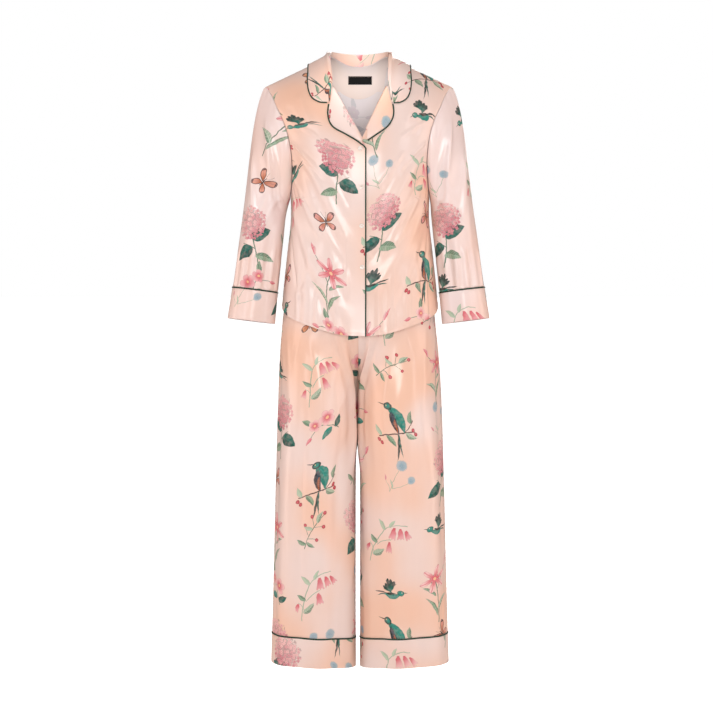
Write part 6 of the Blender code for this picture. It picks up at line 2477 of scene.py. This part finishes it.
@dataclass(frozen=True)
class Trousers:
    """Wide-leg trousers: four leg panels, waistband, piping and hem bands."""

    room: Workroom
    crotch: Pair = (0.60, 0.79)
    centre: float = -0.0014
    hem_inner: float = 1.4050
    hem_rise: float = 0.0110
    band: float = 0.066
    waist: Pair = (0.448, 0.4830)
    piping: float = 0.0014
    seam: float = 0.0003
    meet: float = 0.0012
    cloth: float = 0.0005
    folds: Folds = Folds(TROUSER_FOLDS, 0.0026, stray=0.0)
    creases: Folds = Folds(TROUSER_CREASES, 0.0026, seed=4.1)

    def surface(self, side: int, face: int, u: Grid, drop: Grid) -> Grid:
        """Smooth panel.

        Args:
            side: -1 right, 1 left.
            face: -1 front, 1 back.
            u: share from the inner seam to the side seam.
            drop: metres below the shoulder line.

        Returns:
            The points.
        """
        part = smooth((drop - self.crotch[0]) / (self.crotch[1] - self.crotch[0]))
        column = "front" if face < 0 else "back"
        quarter, around = np.radians(90.0 * u), np.radians(180.0 * u)
        hip_x = track(HIPS, "drop", "half", drop) * np.sin(quarter)
        hip_y = track(HIPS, "drop", column, drop) * np.cos(quarter)
        half = track(LEG, "drop", "half", drop) * (0.970 if side < 0 else 1.018)
        leg_x = track(LEG, "drop", "gap", drop) + half * (1.0 - np.cos(around))
        leg_y = track(LEG, "drop", column, drop) * np.sin(around)
        x = side * (hip_x + (leg_x - hip_x) * part) + self.centre * part + (0.001 + 0.001 * face) * (1.0 - part)
        y = face * (hip_y + (leg_y - hip_y) * part)
        return np.stack([x, y, -drop + 0.0 * x], axis=-1)

    def at(self, side: int, face: int, u: Grid, drop: Grid, out: Grid = 0.0) -> Grid:
        """Points on the folded panel, moved out.

        Args:
            side: -1 right, 1 left.
            face: -1 front, 1 back.
            u: share from the inner seam to the side seam.
            drop: metres below the shoulder line.
            out: metres outward.

        Returns:
            The points.
        """
        u, drop, out = np.broadcast_arrays(u, drop, out)
        inside = np.clip(u, 0.004, 0.996)
        across = self.surface(side, face, inside + 0.002, drop) - self.surface(side, face, inside - 0.002, drop)
        down = self.surface(side, face, inside, drop + 0.001) - self.surface(side, face, inside, drop - 0.001)
        normal = side * face * unit(np.cross(across, down))
        grow = smooth((drop - 0.64) / 0.4) * np.sin(np.pi * u) ** 0.4
        relief = self.folds.height(u * 0.26, drop) * grow
        return self.surface(side, face, u, drop) + normal * (out + relief)[..., None]

    def panel(self, side: int, face: int) -> Cloth:
        """One leg panel, from the waistband to the hem band's piping.

        Args:
            side: -1 right, 1 left.
            face: -1 front, 1 back.

        Returns:
            The cloth.
        """
        u = edged(finer(np.linspace(0.0, 1.0, 12), 5))[None, :]
        rise = edged(finer(np.linspace(0.0, 1.0, 17), 11))[:, None]
        end = self.hem_inner - self.hem_rise * u - self.band - (self.piping + self.seam) * 2.0
        start = self.waist[1] + self.seam
        drop = start + (end - start) * rise
        u = u + 0.0 * drop
        zero = np.zeros_like(u)
        move = np.stack([zero, zero + face * self.seam, zero], axis=-1)
        plain = self.at(side, face, u, drop)
        edges = Edges.of(plain, (True, True, True, True))
        seed = 3.0 + 1.7 * side + 0.9 * face
        shift = 0.012 * side + 0.008 * face
        across = u * 0.26 + shift * np.sin(np.pi * u)
        free = smooth(edges.nearest() / 0.025)
        fine = self.creases.height(across, drop) + 0.0011 * wander(across * 17.0, drop * 9.0, seed)
        out = fine * free + edges.seams(seed, pucker=0.0003)
        closed = smooth((0.915 - drop) / 0.03) * smooth((drop - 0.58) / 0.06)
        out = out + self.meet * closed * (1.0 - smooth(edges.left / 0.004))
        gather = 0.0011 * np.sin(edges.left * 330.0 + 2.0 * wander(across * 40.0, drop * 5.0, seed))
        out = out + gather * np.exp(-edges.top / 0.028) * smooth(edges.top / 0.002)
        outer = self.at(side, face, u, drop, out) + move
        inner = self.at(side, face, u, drop, out - self.cloth) + move
        origins = {(-1, -1): (0.055, 0.118), (1, -1): (0.338, 0.236), (-1, 1): (0.590, 0.067), (1, 1): (0.874, 0.149)}
        origin = origins[side, face]
        x = edges.left - 0.5 * edges.left[:, -1:]
        y = -edges.top.mean(axis=1, keepdims=True) + origin[1] + 0.0 * x
        flat = np.stack([side * -face * x + origin[0], y], axis=-1)
        return Cloth("leg_" + ("front_" if face < 0 else "back_") + HANDS[side] + "_cloth", outer, inner, flat)

    def ring(self, side: int, above: float, out: Grid, half_cells: int = 14) -> Grid:
        """Closed ring round one leg at a height above its hem.

        Args:
            side: -1 right, 1 left.
            above: metres above the hem.
            out: metres outward, one for each place round the half ring or one for all.
            half_cells: steps in half of the ring.

        Returns:
            The points.
        """
        u = np.linspace(0.0, 1.0, half_cells + 1)
        drop = self.hem_inner - self.hem_rise * u - above
        front, back = self.at(side, -1, u, drop, out), self.at(side, 1, u, drop, out)
        shift = np.array([0.0, self.seam, 0.0])
        inner, outer = 0.5 * (front[:1] + back[:1]), 0.5 * (front[-1:] + back[-1:])
        return np.concatenate([inner, front[1:-1] - shift, outer, back[1:-1][::-1] + shift])

    def hem_band(self, side: int) -> Cloth:
        """One hem band, with its edges turned in.

        Args:
            side: -1 right, 1 left.

        Returns:
            The cloth.
        """
        heights = edged(np.linspace(self.band, 0.0, 17))
        cells = 42
        u = np.linspace(0.0, 1.0, cells + 1)
        outer, inner = [], []
        for height in heights:
            near = min(height, self.band - height)
            out = 0.0004 + 0.0007 * wander(u * 7.0, height * 18.0 + 0.0 * u, 2.0 + side) * np.sin(np.pi * u)
            out = out + 0.0003 * np.sin(u * 75.0) * math.exp(-(self.band - height) / 0.009)
            out = out - 0.0006 * rim(near)
            outer.append(self.ring(side, height, out, cells))
            inner.append(self.ring(side, height, out - 0.0012, cells))
        outer, inner = np.array(outer), np.array(inner)
        flat = unrolled(ringed(outer), (0.74, 0.83) if side < 0 else (0.21, 0.94), -side)
        return Cloth("hem_band_" + HANDS[side] + "_cloth", outer, inner, flat, True)

    def waistband(self) -> Cloth:
        """The elastic waistband, evenly gathered.

        Returns:
            The cloth.
        """
        theta = np.arange(192)[None, :] * 2.0 * np.pi / 192
        drop = edged(np.linspace(*self.waist, 9))[:, None]
        near = np.minimum(drop - self.waist[0], self.waist[1] - drop)
        gather = 0.0007 * np.cos(16.0 * theta) + 0.0005 * np.sin(47.0 * theta + 2.0 * np.sin(3.0 * theta))
        gather = gather * (0.6 + 0.4 * smooth(near / 0.006)) - 0.0004 * rim(near)
        wide = 0.1345 + 0.10 * (drop - self.waist[0]) + gather
        deep = 0.0985 + 0.04 * (drop - self.waist[0]) + gather

        def ring(inward: float) -> Grid:
            """The band's points, moved inward."""
            return np.stack([
                (wide - inward) * np.sin(theta), -(deep - inward) * np.cos(theta), -drop + 0.0 * theta,
            ], axis=-1)

        outer = ring(0.0)
        return Cloth("waistband_cloth", outer, ring(0.0024), unrolled(ringed(outer), (0.47, 1.02)), True)

    def build(self) -> None:
        """All pieces of the trousers."""
        room = self.room
        room.cloth(self.waistband(), ("waistband",), "gathered", ("leg_front_right_cloth", "leg_back_right_cloth"))
        for side, name in HANDS.items():
            for face, part in ((-1, "leg_front_"), (1, "leg_back_")):
                room.cloth(self.panel(side, face), (part + name,), "hung", ("waistband_cloth",))
            legs = ("leg_front_" + name + "_cloth", "leg_back_" + name + "_cloth")
            room.cloth(self.hem_band(side), ("hem_band_" + name,), "hung", legs)
            ring = self.ring(side, self.band + self.piping + self.seam, 0.0002, 28)
            room.piping("hem_piping_" + name, ring, self.piping, closed=True)


# ---------------------------------------------------------------- studio

@dataclass(frozen=True)
class Studio:
    """A plain pale floor, a white surround and soft lights, with the camera straight in front."""

    floor: float = -1.500
    camera_at: Triple = (-0.0046, -7.5, -0.317)
    aim: Triple = (-0.0046, 0.0, -0.689)
    lens: float = 164.6
    span: float = 30.0
    surround: float = 0.36

    def aimed(self, name: str, data: bpy.types.ID, at: Triple, aim: Triple) -> bpy.types.Object:
        """Puts a lamp or the camera in the scene, facing a point.

        Args:
            name: its name.
            data: the lamp or the camera.
            at: where it stands.
            aim: the point that it faces.

        Returns:
            The object.
        """
        made = bpy.data.objects.new(name, data)
        made.location = at
        made.rotation_euler = (Vector(aim) - Vector(at)).to_track_quat("-Z", "Y").to_euler()
        bpy.context.scene.collection.objects.link(made)
        return made

    def light(self, name: str, at: Triple, size: Pair, power: float, colour: str, aim: Triple) -> None:
        """One soft light.

        Args:
            name: its name.
            at: where it stands.
            size: its width and height.
            power: watts.
            colour: its sRGB code.
            aim: the point that it faces.
        """
        lamp = bpy.data.lights.new(name, "AREA")
        lamp.shape, lamp.size, lamp.size_y, lamp.energy = "RECTANGLE", size[0], size[1], power
        lamp.color = shade(colour)[:3]
        self.aimed(name, lamp, at, aim)

    def spot(self, at: Triple, aim: Triple, cone: float, power: float) -> None:
        """A soft narrow light into the neck.

        Args:
            at: where it stands.
            aim: the point that it faces.
            cone: its whole angle in degrees.
            power: watts.
        """
        lamp = bpy.data.lights.new("neck", "SPOT")
        lamp.spot_size, lamp.spot_blend, lamp.energy, lamp.shadow_soft_size = math.radians(cone), 1.0, power, 0.04
        self.aimed("neck", lamp, at, aim)

    def build(self) -> None:
        """The floor, the surround, the lights and the camera."""
        points = [(x * self.span, y * self.span, self.floor) for x, y in ((-1, -1), (1, -1), (1, 1), (-1, 1))]
        floor = mesh_object("studio_floor", points, [(0, 1, 2, 3)])
        material = bpy.data.materials.new("floor_pale")
        material.use_nodes = True
        shader = material.node_tree.nodes["Principled BSDF"]
        shader.inputs["Base Color"].default_value = shade("f6f5f4")
        shader.inputs["Roughness"].default_value = 0.9
        shader.inputs["Emission Color"].default_value = (1.0, 1.0, 1.0, 1.0)
        sight = material.node_tree.nodes.new("ShaderNodeLightPath")
        material.node_tree.links.new(sight.outputs["Is Camera Ray"], shader.inputs["Emission Strength"])
        floor.data.materials.append(material)
        world = bpy.data.worlds.new("surround")
        bpy.context.scene.world = world
        world.use_nodes = True
        tree = world.node_tree
        tree.nodes.clear()
        seen, lit = tree.nodes.new("ShaderNodeBackground"), tree.nodes.new("ShaderNodeBackground")
        seen.inputs["Color"].default_value = (1.0, 1.0, 1.0, 1.0)
        seen.inputs["Strength"].default_value = 1.0
        lit.inputs["Strength"].default_value = self.surround
        lit.inputs["Color"].default_value = shade("fbe4db")
        path, blend = tree.nodes.new("ShaderNodeLightPath"), tree.nodes.new("ShaderNodeMixShader")
        end = tree.nodes.new("ShaderNodeOutputWorld")
        tree.links.new(path.outputs["Is Camera Ray"], blend.inputs[0])
        tree.links.new(lit.outputs[0], blend.inputs[1])
        tree.links.new(seen.outputs[0], blend.inputs[2])
        tree.links.new(blend.outputs[0], end.inputs[0])
        middle = (0.0, 0.0, -0.7)
        self.light("front", (0.1, -4.2, 0.35), (1.5, 1.1), 53.0, "fdfeff", middle)
        self.light("side_left", (-3.0, -0.7, -0.6), (1.0, 2.0), 20.0, "ffe0d2", middle)
        self.light("side_right", (3.0, -0.7, -0.6), (1.0, 2.0), 20.0, "ffe0d2", middle)
        self.light("crown", (0.1, -2.2, 2.4), (1.0, 1.0), 13.0, "fdfeff", (0.0, 0.0, -0.15))
        self.spot((0.0, -2.7, -0.20), (0.0, 0.07, -0.045), 5.0, 190.0)
        self.light("strip_left", (-2.3, -2.6, 0.0), (0.15, 2.4), 16.0, "f6f8ff", middle)
        self.light("strip_right", (2.4, -2.3, -0.2), (0.15, 2.4), 12.0, "f6f8ff", middle)
        self.light("back_fill", (0.6, 3.4, 0.6), (2.0, 1.6), 36.0, "ffffff", middle)
        camera = bpy.data.cameras.new("camera")
        camera.lens = self.lens
        bpy.context.scene.camera = self.aimed("camera", camera, self.camera_at, self.aim)
        bpy.context.scene.view_settings.view_transform = "Standard"


def main() -> None:
    """Builds the pyjama set and the studio round it."""
    logging.basicConfig(level=logging.INFO, format="%(message)s")
    room = Workroom()
    room.prepare()
    Shirt(room).build()
    for side in (-1, 1):
        Sleeve(room, side).build()
    Trousers(room).build()
    Studio().build()


if __name__ == "__main__":
    main()
